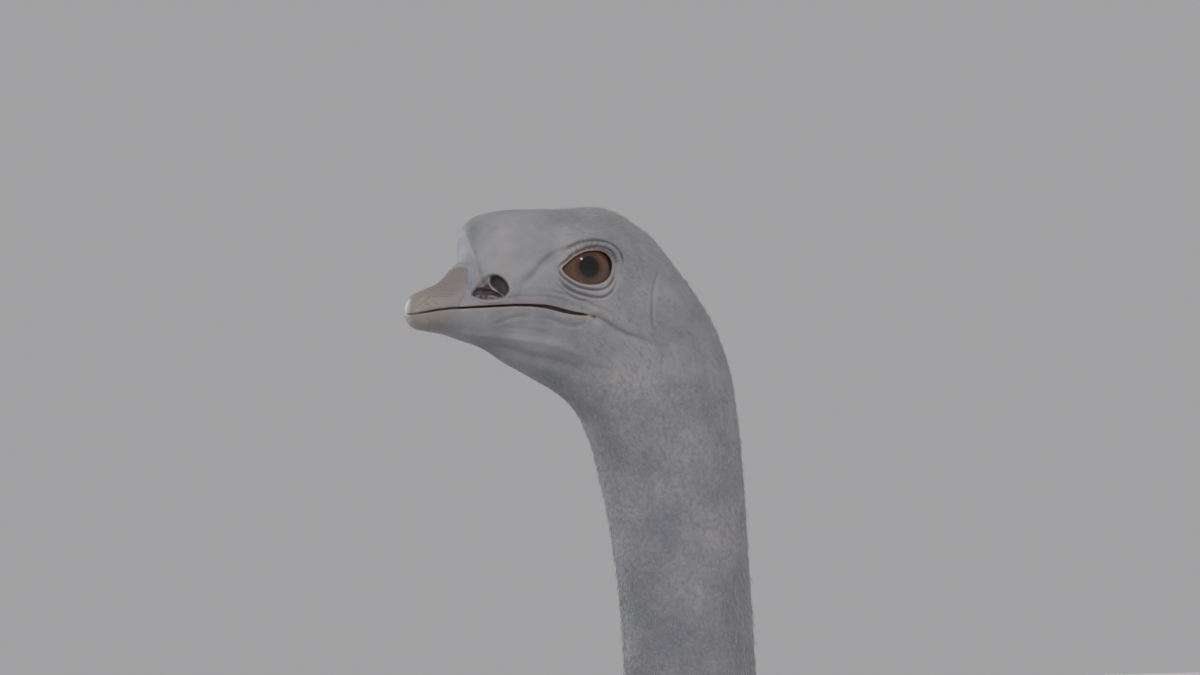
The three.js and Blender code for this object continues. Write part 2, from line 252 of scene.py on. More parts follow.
def rowAt(rows, stations):
    last = len(rows) - 1
    stations = np.clip(np.asarray(stations, float), 0, last - 1e-9)
    index = np.floor(stations).astype(int)
    f = (stations - index)[:, None]
    before, a = rows[np.maximum(index - 1, 0)], rows[index]
    b, after = rows[index + 1], rows[np.minimum(index + 2, last)]
    slopeA = (b - before) / np.where(index > 0, 2, 1)[:, None]
    slopeB = (after - a) / np.where(index + 1 < last, 2, 1)[:, None]
    cubic = 2 * f**3 - 3 * f**2
    return (cubic + 1) * a + (f**3 - 2 * f**2 + f) * slopeA - cubic * b + (f**3 - f**2) * slopeB


def ringPoints(rows, angles):
    upper, lower = rows[:, None, 0:2], rows[:, None, 2:4]
    half, widest = rows[:, None, 4], rows[:, None, 5]
    height = rows[:, None, 1] - rows[:, None, 3]
    steep = np.where(np.abs(height) < 1, 1, height)
    share = np.clip((widest - rows[:, None, 3]) / steep, 0.1, 0.9)
    share = np.where(np.abs(height) < 1, 0.5, share)[..., None]
    middle = lower + (upper - lower) * share
    c, s = np.cos(angles), np.sin(angles)
    power = 2 / np.where(c >= 0, rows[:, None, 6], rows[:, None, 7])
    out = np.sign(s) * np.abs(s) ** power * half
    reach = (np.abs(c) ** power)[..., None]
    place = np.where(c[..., None] >= 0, middle + (upper - middle) * reach, middle + (lower - middle) * reach)
    return np.concatenate([out[..., None], place], axis=-1)


def mouthAngles(rows):
    # The turn at which each ring crosses the mouth line, or the furrow behind it.
    upper, lower = rows[:, 0:2], rows[:, 2:4]
    order = np.argsort(mouthLine[:, 0])
    share = np.full(len(rows), 0.5)
    low, high = np.zeros(len(rows)), np.ones(len(rows))
    for _ in range(40):
        share = (low + high) / 2
        point = lower + (upper - lower) * share[:, None]
        above = point[:, 1] > np.interp(point[:, 0], mouthLine[order, 0], mouthLine[order, 1])
        high = np.where(above, share, high)
        low = np.where(above, low, share)
    turning = np.clip((rows[:, 5] - rows[:, 3]) / (rows[:, 1] - rows[:, 3]), 0.1, 0.9)
    reach = np.where(share >= turning, (share - turning) / (1 - turning), (share - turning) / turning)
    power = np.where(reach >= 0, rows[:, 6], rows[:, 7]) / 2
    return np.arccos(np.sign(reach) * np.abs(reach) ** power)


# Folds and grooves of the face. Each line: how deep it sinks, or rises where it is negative, how wide
# it spreads, whether it is a sharp crease and not a soft hollow, and its path as (ahead, up) points on
# the side of the head.
faceFolds = {
    "lidInnerUpper": (1.5, 0.8, True, [
        (22.5, -1.5), (20, 1.2), (16.6, 4.2), (12.8, 8.2), (6.5, 11.6), (0.6, 14.2), (-6.5, 15.4),
        (-13.3, 14.8), (-18.6, 12.6), (-22.3, 8.2), (-24, 2),
    ]),
    "lidOuterUpper": (1.9, 1.0, True, [
        (20.4, 11.4), (16, 13.2), (9.7, 16.2), (4.5, 18.4), (-6, 20.2), (-14.4, 19.8), (-21.2, 17.4),
        (-25.9, 13.4), (-28.4, 8), (-29.4, 3),
    ]),
    "lidInnerLower": (1.4, 0.75, True, [
        (21.6, -1.5), (20.6, -5), (17.2, -9), (9.4, -13.9), (0, -16.2), (-9.5, -16.1), (-16, -13.2),
        (-20.4, -7.5), (-22.4, -1),
    ]),
    "lidOuterLower": (1.4, 0.85, True, [
        (22.5, -7.5), (17.6, -13.8), (9.4, -18.4), (-0.3, -20.8), (-8, -21.6), (-14.4, -20.4),
        (-19.4, -16.4), (-23.4, -10),
    ]),
    "lidThirdLower": (0.7, 0.7, True, [(22, -13.6), (16.8, -18.2), (10.6, -21.8), (4, -23.9), (-2, -24.4)]),
    "browFurrow": (1.9, 2.2, False, [
        (46, -13), (41, -9), (36.4, -3.4), (32.4, 2), (28, 6), (22, 9.8), (15, 13),
    ]),
    "browRidge": (-1.5, 2.7, False, [
        (47, -9), (43, -4.6), (38.6, 0.6), (34, 6.2), (28.6, 10.2), (21, 14.4), (12, 18.6), (3, 22.6),
        (-6, 24.4), (-16, 24),
    ]),
    "jawFurrow": (1.7, 1.7, False, [
        (0, -34.2), (-6, -35.4), (-12.6, -37.6), (-18.6, -40.8), (-26, -45), (-34, -47.9), (-42, -50.2),
        (-51, -53.7), (-60, -58),
    ]),
    "jawFurrowBank": (-1.0, 2.6, False, [
        (4, -31), (-8, -31.8), (-16, -35.2), (-24, -39.6), (-33, -43.3), (-44, -46),
    ]),
    "lipUpper": (0.65, 0.8, True, [
        (58, -23.6), (48, -21.8), (38, -21.4), (27, -22.3), (16.5, -24.6), (5, -28.6), (-6, -32.3),
    ]),
    "lipUpperHigh": (0.5, 0.9, True, [
        (50, -17.8), (42, -16.9), (34, -17), (20, -19.4), (5, -24), (-10, -28.8), (-20, -33),
    ]),
    "loreLine": (0.4, 0.9, True, [(50, -14), (42, -13), (34.6, -12), (27.5, -12.8)]),
    "loreLineHigh": (0.35, 0.9, True, [(47, -11), (40, -9.2), (33, -7.4)]),
    "lipRoll": (-0.5, 1.6, False, [
        (84, -26.8), (64, -25.9), (48, -25.2), (34, -25.6), (20, -27.5), (6, -31),
    ]),
    "lipLower": (0.9, 1.1, True, [(64.4, -42.2), (59.7, -39.9), (53.3, -37.2), (46.6, -36), (38, -35.6)]),
    "gapeFold": (1.1, 1.0, True, [
        (34, -36.4), (25.7, -37.5), (18.3, -40.2), (12.7, -42), (6, -42), (1.2, -40.2), (-0.5, -37),
    ]),
    "gapeRoll": (-0.8, 1.6, False, [(24, -34.6), (16, -36.8), (9, -38.2), (3, -37.6)]),
    "jawWrinkle": (0.5, 1.0, True, [(62, -43.8), (48.9, -43.8), (38.6, -44.9), (28, -47.2), (20, -49.9)]),
    "jawEdge": (-1.0, 2.4, False, [
        (96, -46.4), (84, -47.6), (72, -49), (60.6, -50.2), (47, -51.8), (36.9, -53), (26.5, -54.4),
        (15.5, -56.8), (4, -61), (-7, -65.6), (-18, -68),
    ]),
    "jawHollow": (2.4, 5, False, [
        (70, -55), (58, -58), (46, -61), (36, -64), (25, -66), (14, -68.5), (3, -72.5), (-8, -76),
    ]),
    "earCrease": (1.7, 0.85, True, [
        (-60.6, 1.7), (-56.6, -6), (-53.4, -14), (-52.1, -23), (-51.5, -32.5), (-52.3, -39.7),
        (-56, -45.1), (-62, -50.6),
    ]),
    "earBank": (-0.7, 2.8, False, [(-61, -6), (-57.5, -18), (-56, -30), (-58, -40)]),
    "cheekRoll": (-0.5, 4, False, [(-8, -27.5), (-18, -29.5), (-28, -26.6), (-38, -23)]),
    "loreHollow": (1.3, 7, False, [(72, 8), (64, 3), (56, -3), (50, -8)]),
    "nostrilBank": (-0.8, 2.2, False, [(60, -3), (52, -8), (50, -17), (54, -23.5)]),
}
billFolds = {
    "culmenRidge": (-1.0, 1.1, False, [
        (93, -4.8), (88.5, -1.6), (86, -0.8), (83, -1.2), (81, -3.6), (80.2, -7.4), (81.3, -11),
        (84.3, -14.6),
    ]),
    "plateHollow": (1.2, 3.6, False, [(103, -15.5), (96, -12), (90, -8.5), (85.5, -7)]),
    "plateEdge": (-0.6, 1.1, False, [(110, -21.4), (101, -19.8), (92, -19.2), (84.6, -16)]),
    "plateLine": (0.5, 0.7, True, [(112, -22.6), (102, -21.6), (92, -21.4)]),
    "nailGroove": (0.7, 0.9, True, [(107.6, -20), (112.3, -24.4), (116.6, -28.6), (118.6, -33)]),
    "nailDent": (0.6, 0.8, True, [(113.5, -27.4), (110, -30.2)]),
    "billDent": (0.4, 0.8, True, [(108, -26), (105, -29)]),
    "lowerNail": (0.5, 0.8, True, [(112, -38), (108.5, -41.5), (107, -45)]),
}


def smoothPath(points, count=48):
    points = np.asarray(points, float)
    return rowAt(points, np.linspace(0, len(points) - 1, count))


def gridMesh(points):
    # A flat grid folded into the shape of rings of points. Its edges are still open.
    rings, lines = points.shape[:2]
    bm = bmesh.new()
    bmesh.ops.create_grid(bm, x_segments=lines - 1, y_segments=rings - 1, size=1)
    bm.verts.ensure_lookup_table()
    for vertex, place in zip(bm.verts, points.reshape(-1, 3)):
        vertex.co = place
    return bm


def surfaceTree(rows, low, high):
    # A plain, dense copy of one stretch of the outline, to find the surface from a place seen side on.
    fine = rowAt(rows, np.linspace(low, high, int((high - low) * 24)))
    bm = gridMesh(ringPoints(fine, np.broadcast_to(np.linspace(0.0, math.pi, 200), (len(fine), 200))))
    tree = BVHTree.FromBMesh(bm)
    bm.free()
    return tree


def placeTree(points):
    tree = KDTree(len(points))
    for i, place in enumerate(points):
        tree.insert(place, i)
    tree.balance()
    return tree


headTree = surfaceTree(headRows, 0, 22)


def sidePoint(ahead, up):
    hit = headTree.ray_cast(Vector((90, ahead, up)), Vector((-1, 0, 0)))[0]
    if hit is None:
        hit = headTree.find_nearest(Vector((3, ahead, up)))[0]
    return np.array(hit)


def sideNormal(ahead, up, reach=0.8):
    along = sidePoint(ahead + reach, up) - sidePoint(ahead - reach, up)
    across = sidePoint(ahead, up + reach) - sidePoint(ahead, up - reach)
    normal = np.cross(along, across)
    return normal / np.linalg.norm(normal)


def prepareFolds(folds):
    ready = []
    for depth, width, sharp, path in folds.values():
        length = np.linalg.norm(np.diff(smoothPath(path), axis=0), axis=1).sum()
        fine = smoothPath(path, max(24, int(length / (0.4 * width))))
        ready.append((np.array([sidePoint(*p) for p in fine]), depth, width, sharp))
    return ready


def foldDepth(points, ready):
    # How far each point sinks under all the folds together.
    points = np.column_stack([np.abs(points[:, 0]), points[:, 1], points[:, 2]])
    total = np.zeros(len(points))
    for line, depth, width, sharp in ready:
        near = np.all((points > line.min(0) - 4 * width) & (points < line.max(0) + 4 * width), axis=1)
        if not near.any():
            continue
        tree = placeTree(line)
        found = [tree.find(p) for p in points[near]]
        share = np.array([f[1] for f in found]) / (len(line) - 1)
        taper = np.minimum(1, np.minimum(share, 1 - share) / 0.16 + 0.05)
        spread = np.array([f[2] for f in found]) / width
        if sharp:
            shape = np.exp(-(spread**1.3)) - 0.3 * np.exp(-((spread - 2.2) ** 2))
        else:
            shape = np.exp(-(spread**2))
        total[near] += depth * taper * shape
    return total


faceReady = prepareFolds(faceFolds)
billReady = prepareFolds(billFolds)
creaseReady = [ready for ready in faceReady if ready[3]]
print("face: folds laid out")


# Skin of head and neck.
skinGrid = {
    "halfLines": 98, "mouthLine": 57, "headStep": 1.08, "neckStep": 9, "trunkStep": 24, "seam": 4.4,
    "gape": -4.0,
}


def runLength(line):
    # How far along a line of points each of them is.
    return np.concatenate([[0], np.cumsum(np.linalg.norm(np.diff(line, axis=0), axis=1))])


def stationsBetween(rows, low, high, stepAt):
    fine = np.linspace(low, high, 4000)
    outline = rowAt(rows, fine)
    upper = np.linalg.norm(np.diff(outline[:, 0:2], axis=0), axis=1)
    lower = np.linalg.norm(np.diff(outline[:, 2:4], axis=0), axis=1)
    side = np.concatenate([[0], np.cumsum((upper + lower) / 2)])
    lines = np.concatenate([[0], np.cumsum(np.diff(side) / stepAt((fine[1:] + fine[:-1]) / 2))])
    count = max(2, int(round(lines[-1])))
    return np.interp(np.linspace(0, lines[-1], count + 1), lines, fine)


def gapAt(ahead):
    # Opening between the lips: a hair at the tip, widest below the eye, closed at the gape.
    widest = 1.05 + 0.5 * smoothStep(96, 60, ahead) + 1.3 * np.exp(-(((ahead - 22) / 14) ** 2))
    return widest * smoothStep(skinGrid["gape"] - 2, skinGrid["gape"] + 7, ahead)


def ringAngles(rows, hold):
    count, line = skinGrid["halfLines"], skinGrid["mouthLine"]
    fine = np.linspace(0, math.pi, 241)
    points = ringPoints(rows, np.broadcast_to(fine, (len(rows), 241)))
    steps = np.linalg.norm(np.diff(points, axis=1), axis=-1)
    length = np.concatenate([np.zeros((len(rows), 1)), np.cumsum(steps, axis=1)], axis=1)
    crossing = mouthAngles(rows)
    angles = np.empty((len(rows), count + 1))
    for i in range(len(rows)):
        total = length[i, -1]
        middle = np.interp(crossing[i], fine, length[i])
        ahead = np.interp(crossing[i], fine, points[i, :, 1])
        scale = min(1.0, middle / 14, (total - middle) / 14)
        edges = (max(gapAt(ahead), 0.5) / 2 + np.array([0, 0.25, 0.7, 1.4])) * scale
        upper = np.linspace(0, middle - edges[3], line - 3)
        lower = np.linspace(middle + edges[3], total, count - line - 3)
        lips = np.concatenate([upper, middle - edges[2::-1], [middle], middle + edges[:3], lower])
        even = np.linspace(0, total, count + 1)
        angles[i] = np.interp(lips * hold[i] + even * (1 - hold[i]), length[i], fine)
    return angles


# How far the edge of the horn stands behind its ring, in stations, by height on the side of the bill.
hornEdge = np.array([
    (-60, -0.56), (-27.6, -0.56), (-26, -0.46), (-23.5, -0.26), (-20, 0), (-17.5, 0.08), (-14.5, 0.3),
    (-11, 0.62), (-7, 0.78), (-3.5, 0.5), (-1, 0.1), (1, -0.3), (6, -0.4),
])


def fullRings(stations, hold, follow):
    # Both halves: from the top down the left side and up the right, with the top line twice.
    # Follow says how much each ring keeps to the edge of the horn.
    atMouth = hornEdge[0, 1]
    seamRow = rowAt(headRows, [skinGrid["seam"]])
    edge = ringPoints(seamRow, ringAngles(seamRow, np.ones(1)))[0]
    shift = np.interp(edge[:, 2], hornEdge[:, 0], hornEdge[:, 1])
    shift[skinGrid["mouthLine"] - 4:] = atMouth
    forward = np.clip(shift / atMouth, 0, 1)
    half = ringAngles(rowAt(headRows, stations), hold) * (1 - forward)
    half += ringAngles(rowAt(headRows, stations + follow * atMouth), hold) * forward
    moved = stations[:, None] + follow[:, None] * shift[None]
    left = ringPoints(rowAt(headRows, moved.ravel()), half.reshape(-1, 1)).reshape(*half.shape, 3)
    right = left[:, -2::-1].copy()
    right[..., 0] *= -1
    return np.concatenate([left, right], axis=1)


def gridNormals(points):
    along = np.gradient(points, axis=0)
    wide = np.concatenate([points[:, -2:-1], points, points[:, 1:2]], axis=1)
    return unit(np.cross(along, (wide[:, 2:] - wide[:, :-2]) / 2))


def mouthDepth(points):
    # The slit of the mouth, by the distance of each line of the grid from the mouth line.
    rings, lines = points.shape[:2]
    count, line = skinGrid["halfLines"], skinGrid["mouthLine"]
    depth = np.zeros((rings, lines))
    for place in (line, 2 * count - line):
        middle = points[:, place]
        apart = np.linalg.norm(points - middle[:, None], axis=-1)
        ahead = middle[:, 1]
        gap = np.maximum(gapAt(ahead), 0.3)[:, None]
        deep = 7.0 * smoothStep(skinGrid["gape"], skinGrid["gape"] + 9, ahead)
        deep = deep * (1 - 0.75 * smoothStep(104, 122, ahead))
        wall = 1 - smoothStep(gap * 0.30, gap * 0.5 + 0.32, apart)
        near = np.abs(np.arange(lines) - place) <= 4
        depth += deep[:, None] * wall * near[None]
    return depth


def shrinkRing(ring, share, shift=(0, 0, 0)):
    middle = ring.mean(axis=0)
    return middle + (ring - middle) * share + np.array(shift)


def drawnIn(ring, steps):
    # Rings drawn together to a pole: each step is a share of the ring and how far ahead it stands.
    return np.array([shrinkRing(ring, share, (0, ahead, 0)) for share, ahead in steps])


def finishMesh(bm, name):
    bmesh.ops.remove_doubles(bm, verts=bm.verts, dist=3e-6)
    bmesh.ops.recalc_face_normals(bm, faces=bm.faces)
    mesh = bpy.data.meshes.new(name)
    bm.to_mesh(mesh)
    bm.free()
    mesh.shade_smooth()
    return newObject(name, mesh)


def carvedRings(stations, hold, follow, ready):
    points = fullRings(stations, hold, follow)
    normal = gridNormals(points)
    depth = foldDepth(points.reshape(-1, 3), ready).reshape(points.shape[:2])
    slit = mouthDepth(points)
    depth = np.where(slit > 0.4, 0, depth) + slit
    return points - normal * depth[..., None], normal


# The bill: how far the tip rounds off, in stations, and how far its back edge sinks under the skin.
bill = {"tipEnd": 0.6, "sunk": 0.25}


def buildBill():
    seam = skinGrid["seam"]
    stations = stationsBetween(headRows, 0, seam + 0.12, lambda s: 0.28 + 0.5 * smoothStep(0, 1.5, s))
    follow = smoothStep(seam - 2.6, seam, stations)
    points, normal = carvedRings(stations, np.ones(len(stations)), follow, faceReady + billReady)
    high = smoothStep(-34, -26, points[..., 2])
    sunk = high * smoothStep(seam - 0.25, seam, stations)[:, None]
    sunk = sunk + (1 - high) * smoothStep(seam, seam + 0.1, stations)[:, None]
    points -= normal * (bill["sunk"] * sunk)[..., None]
    end = bill["tipEnd"]
    tip = np.sqrt(np.clip(1 - ((end - np.minimum(stations, end)) / end) ** 2, 0, 1))
    for i in np.flatnonzero(stations < end):
        points[i] = shrinkRing(points[i], tip[i])
    back = drawnIn(points[-1], ((0.93, -0.6), (0.6, -1.2), (0, -1.5)))
    piece = finishMesh(gridMesh(toWorld(np.concatenate([points, back]))), "bill")
    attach(piece, "root")
    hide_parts("bill_upper", "bill_lower")
    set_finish(piece, "horn")


eyeOpening = [
    (18.6, -1.6), (15.6, 2.6), (10.8, 7), (5.2, 10), (-2, 11.6), (-9.8, 11.8), (-15.6, 9.8), (-19.4, 5.6),
    (-20.3, 0.8), (-18.9, -4.4), (-14.8, -8.8), (-9, -11.6), (-2, -12.8), (5, -12), (11, -9.6), (15.8, -6.2),
]
nostrilOpening = [
    (80.5, -20.4), (77.8, -16), (75.4, -12.8), (73, -9.9), (70.6, -7.6), (67, -6.6), (63.4, -7), (60.4, -8.8),
    (57.6, -11.8), (56, -15), (55.6, -18.2), (57.4, -21.6), (61.3, -24.2), (67.7, -24.9),
    (74.6, -24), (79, -22.3),
]
eyePatch = {"rings": 36, "ahead": 30.5, "behind": 32, "above": 29, "below": 25.5, "middle": (0, 0)}
nostrilPatch = {"rings": 15, "ahead": 16.5, "behind": 15.5, "above": 13.5, "below": 10, "middle": (67, -16.5)}


def radiusRound(outline, middle):
    # The outline's distance from its middle, as a smooth function of the direction.
    closed = np.array(outline + outline[:3])
    fine = rowAt(closed, np.linspace(1, len(outline) + 1, 400)) - middle
    turn = np.arctan2(fine[:, 1], fine[:, 0])
    order = np.argsort(turn)
    return lambda direction: np.interp(direction, turn[order], np.hypot(*fine[order].T), period=2 * math.pi)


def eyeSurface(radius, proud=0.0):
    share = np.clip(radius / (eyeAcross + proud), 0, 0.97)
    return eyeOut + (eyeDeep + proud) * np.sqrt(1 - share**2)


def rolledEdge(outward, high, middle, width, sunk, depth):
    # A roll of skin round an opening, which turns down at its very edge.
    roll = high * math.exp(-(((outward - middle) / width) ** 2))
    return roll - depth * max(0, 1 - outward / sunk) ** 2


def lidPlace(flat, outward, direction, edge):
    # Where the lids are: flat is (ahead, up), outward the distance from the edge of the opening.
    place = sidePoint(*flat)
    normal = sideNormal(*flat)
    behind = 1 + 0.3 * smoothStep(0.2, 1, -math.cos(direction))
    upper = smoothStep(-0.35, 0.6, math.sin(direction)) * behind
    rim = eyeSurface(edge, 1.0 + 1.25 * upper)
    reach = 8 + 3.5 * upper + 3.5 * smoothStep(0.4, 1, abs(math.cos(direction)))
    place[0] += (rim - place[0]) * (1 - smoothStep(0.4, reach, outward))
    return place + normal * rolledEdge(outward, 0.55, 1.5, 0.95, 0.8, 0.75), normal


def nostrilPlace(flat, outward, *_):
    normal = sideNormal(*flat)
    return sidePoint(*flat) + normal * rolledEdge(outward, 0.5, 1.3, 1.1, 0.7, 0.6), normal


def patchPoints(corner, opening, patch, placeAt, ready):
    # Rings from the edge of the hole in the skin to the edge of the opening.
    middle = np.array(patch["middle"], float)
    flat = corner[:, 1:3] - middle
    direction = np.arctan2(flat[:, 1], flat[:, 0])
    edge = radiusRound(opening, middle)(direction)
    heading = np.column_stack([np.cos(direction), np.sin(direction)])
    count = patch["rings"]
    turn = np.argsort(direction)
    placed, plain, outward = [], [], []
    for k in range(1, count + 1):
        t = 1 - k / count
        q = t + 0.5 * (t * t - t)
        spot = middle + heading * edge[:, None] * (1 - q) + flat * q
        away = np.hypot(*(spot - middle).T) - edge
        both = [placeAt(spot[i], away[i], direction[i], edge[i]) for i in range(len(spot))]
        placed.append([p[0] for p in both])
        outward.append([p[1] for p in both])
        plain.append([sidePoint(*place) for place in spot])
    placed, plain, outward = np.array(placed), np.array(plain), np.array(outward)
    ordered = placed[:, turn]
    around = np.roll(ordered, -1, axis=1) - np.roll(ordered, 1, axis=1)
    normal = np.empty_like(placed)
    normal[:, turn] = unit(np.cross(np.gradient(ordered, axis=0), around))
    normal *= np.where((normal * outward).sum(-1, keepdims=True) < 0, -1, 1)
    depth = foldDepth(plain.reshape(-1, 3), ready).reshape(placed.shape[:2])
    return list(placed - normal * depth[..., None]), direction, edge, heading, middle


# Rings behind the edge of the lids: how far each stands from the opening, how much more above, and
# how far it stands proud of the ball; then the rings that close the skin, out of sight.
lidTurn = ((-0.3, 0.3, 0.7), (-0.45, 1.2, 0.35), (-0.35, 1.9, -0.3), (-0.3, 1.9, -1.2), (-0.4, 1, -3))
lidClose = ((0.7, -5), (0.35, -7), (0, -8))


def eyeInside(direction, edge, heading, middle):
    # The lids' inner edge turns in to the eyeball, undercut above.
    over = smoothStep(-0.25, 0.5, np.sin(direction))
    rings = []
    for still, more, proud in lidTurn:
        radius = edge + still + more * over
        out = eyeSurface(radius, proud + 0.5 * more * over * (proud > 0))
        rings.append(np.column_stack([out, middle + heading * radius[:, None]]))
    for share, proud in lidClose:
        flat = middle + heading * (edge * share)[:, None]
        rings.append(np.column_stack([eyeSurface(edge * share, proud), flat]))
    return rings


# The hollow of the nostril: each line is a ridge or a hollow, with its depth under the skin and its width.
nostrilFloor = 4.2
nostrilForms = {
    "plate": ([(74.4, -13.6), (72, -11.6), (70, -9.4)], 1.5, 2.3),
    "partition": (
        [(69.6, -9), (69.5, -12.4), (67.6, -16), (64.7, -18.2), (61.9, -19.9), (60, -21.2)], 1.0, 1.0,
    ),
    "bowl": ([(65, -10.6), (62, -12), (59.8, -15.4), (59.4, -17.4)], 10.5, 3.3),
    "frontHollow": ([(77.6, -18.8), (74.6, -17.4)], 6.0, 1.5),
    "frontLobe": ([(76.2, -21.4)], 2.2, 1.6),
    "slit": ([(72.6, -18.6), (68.4, -19.7), (65.6, -20.4), (62.6, -21.8)], 7.5, 1.15),
    "lowerLobe": ([(69.4, -22.5), (66, -22.6), (62.6, -22.9)], 1.6, 1.2),
}


def nostrilDepth(flat):
    weights, total = np.full(len(flat), 0.06), np.full(len(flat), 0.06 * nostrilFloor)
    for path, depth, width in nostrilForms.values():
        line = smoothPath(path, 30) if len(path) > 1 else np.array(path)
        apart = np.linalg.norm(flat[:, None] - line[None], axis=-1).min(1)
        weight = np.exp(-((apart / width) ** 2) * 1.6)
        weights += weight
        total += weight * depth
    return total / weights


def pocketRings(direction, edge, heading, middle):
    rings = []
    # Behind and above, the hollow runs on under the rim.
    under = 0.11 * smoothStep(0.55, 0.95, np.cos(direction - 2.45))
    for share in [0.975, 0.955, 0.93] + list(np.linspace(0.9, 0, 22)):
        wider = under * smoothStep(0.975, 0.93, share) * smoothStep(0.45, 0.85, share)
        flat = middle + heading * (edge * (share + wider))[:, None]
        depth = nostrilDepth(flat) * smoothStep(1.0, 0.86, share)
        base = np.array([sidePoint(*spot) for spot in flat])
        normal = np.array([sideNormal(*spot, 1.5) for spot in flat])
        rings.append(base - normal * (depth + 0.35)[:, None])
    return rings


def holeFaces(bm, points, patch, side):
    # Faces of the grid between the rings and lines that frame the patch.
    lines = points.shape[1]
    ahead, up = patch["middle"]
    left = points[:, :skinGrid["halfLines"] + 1]
    apart = np.hypot(left[..., 1] - ahead, left[..., 2] - up)
    ring, line = np.unravel_index(apart.argmin(), apart.shape)
    firstRing = np.flatnonzero(left[:ring, line, 1] > ahead + patch["ahead"]).max()
    lastRing = ring + np.flatnonzero(left[ring:, line, 1] < ahead - patch["behind"]).min()
    firstLine = np.flatnonzero(left[ring, :line, 2] > up + patch["above"]).max()
    lastLine = line + np.flatnonzero(left[ring, line:, 2] < up - patch["below"]).min()
    chosen = []
    bm.faces.ensure_lookup_table()
    for i in range(firstRing, lastRing):
        for j in range(firstLine, lastLine):
            column = j if side > 0 else lines - 2 - j
            chosen.append(bm.faces[i * (lines - 1) + column])
    return chosen


def deleteSome(bm, some, context):
    if some:
        bmesh.ops.delete(bm, geom=some, context=context)


def fillPatch(bm, faces, side, opening, patch, placeAt, inside):
    # Cuts the hole, then draws its edge inwards ring by ring.
    chosen = set(faces)
    around = dict.fromkeys(e for f in faces for e in f.edges)
    edges = [e for e in around if sum(f in chosen for f in e.link_faces) == 1]
    deleteSome(bm, faces, "FACES_ONLY")
    deleteSome(bm, [e for e in bm.edges if not e.link_faces], "EDGES")
    deleteSome(bm, [v for v in bm.verts if not v.link_edges], "VERTS")
    corners = list(dict.fromkeys(v for e in edges for v in e.verts))
    local = toLocal(np.array([v.co for v in corners])) * [side, 1, 1]
    rings, direction, edge, heading, middle = patchPoints(local, opening, patch, placeAt, faceReady)
    rings += inside(direction, edge, heading, middle)
    order = {v: i for i, v in enumerate(corners)}
    for ring in rings:
        placed = toWorld(ring * [side, 1, 1])
        made = bmesh.ops.extrude_edge_only(bm, edges=edges)["geom"]
        edges = [g for g in made if isinstance(g, bmesh.types.BMEdge)]
        nextOrder = {}
        for v in made:
            if isinstance(v, bmesh.types.BMVert):
                old = next(e.other_vert(v) for e in v.link_edges if e.other_vert(v) in order)
                nextOrder[v] = order[old]
                v.co = placed[order[old]]
        order = nextOrder


def cuticle(points, stations):
    # The soft lip of skin round the back of the horny plate, high at the top and gone at the mouth.
    behind = stations - skinGrid["seam"]
    lip = 0.85 * np.exp(-(((behind - 0.16) / 0.2) ** 2)) - 0.25 * np.exp(-(((behind - 0.62) / 0.2) ** 2))
    return lip[:, None] * smoothStep(-19, -9, points[..., 2])


def halveLines(bm, rings, lines, fromRing):
    # Down the neck and trunk every second line is let go.
    bm.verts.ensure_lookup_table()
    target = {}
    for i in range(fromRing, rings):
        for j in range(1, lines - 1, 2):
            target[bm.verts[i * lines + j]] = bm.verts[i * lines + j - 1]
    bmesh.ops.weld_verts(bm, targetmap=target)


def skinStep(s):
    # How far apart the rings stand: close on the head, wider down the neck and round the trunk.
    head = skinGrid["headStep"] + 1.6 * smoothStep(17, 21, s)
    neck = (skinGrid["neckStep"] - skinGrid["headStep"] - 1.6) * smoothStep(21, 27, s)
    return head + neck + (skinGrid["trunkStep"] - skinGrid["neckStep"]) * smoothStep(30, 33, s)


def buildBodySkin():
    seam = skinGrid["seam"]
    stations = stationsBetween(headRows, seam, len(headRows) - 1, skinStep)
    stations = np.insert(stations, 1, seam + 0.03)
    hold = 1 - smoothStep(15, 18.5, stations)
    follow = 1 - smoothStep(seam, seam + 3.2, stations)
    points, normal = carvedRings(stations, hold, follow, faceReady)
    rim = 0.14 * smoothStep(seam + 0.5, seam + 0.05, stations)[:, None] * smoothStep(-34, -26, points[..., 2])
    points += normal * (rim + cuticle(points, stations))[..., None]
    front = drawnIn(points[0], ((0, 0.5), (0.5, 0.5), (0.9, 0.3), (0.975, 0.3), (0.992, 0.15)))
    back = drawnIn(points[-1], ((0.8, -7), (0.5, -12), (0, -15)))
    whole = np.concatenate([front, points, back])
    bm = gridMesh(toWorld(whole))
    holes = []
    for patch, opening, placeAt, inside in (
        (eyePatch, eyeOpening, lidPlace, eyeInside),
        (nostrilPatch, nostrilOpening, nostrilPlace, pocketRings),
    ):
        for side in (1, -1):
            holes.append((holeFaces(bm, whole, patch, side), side, opening, patch, placeAt, inside))
    halveLines(bm, len(whole), whole.shape[1], len(front) + int(np.searchsorted(stations, 18.6)))
    for hole in holes:
        fillPatch(bm, *hole)
    return finishMesh(bm, "skin")


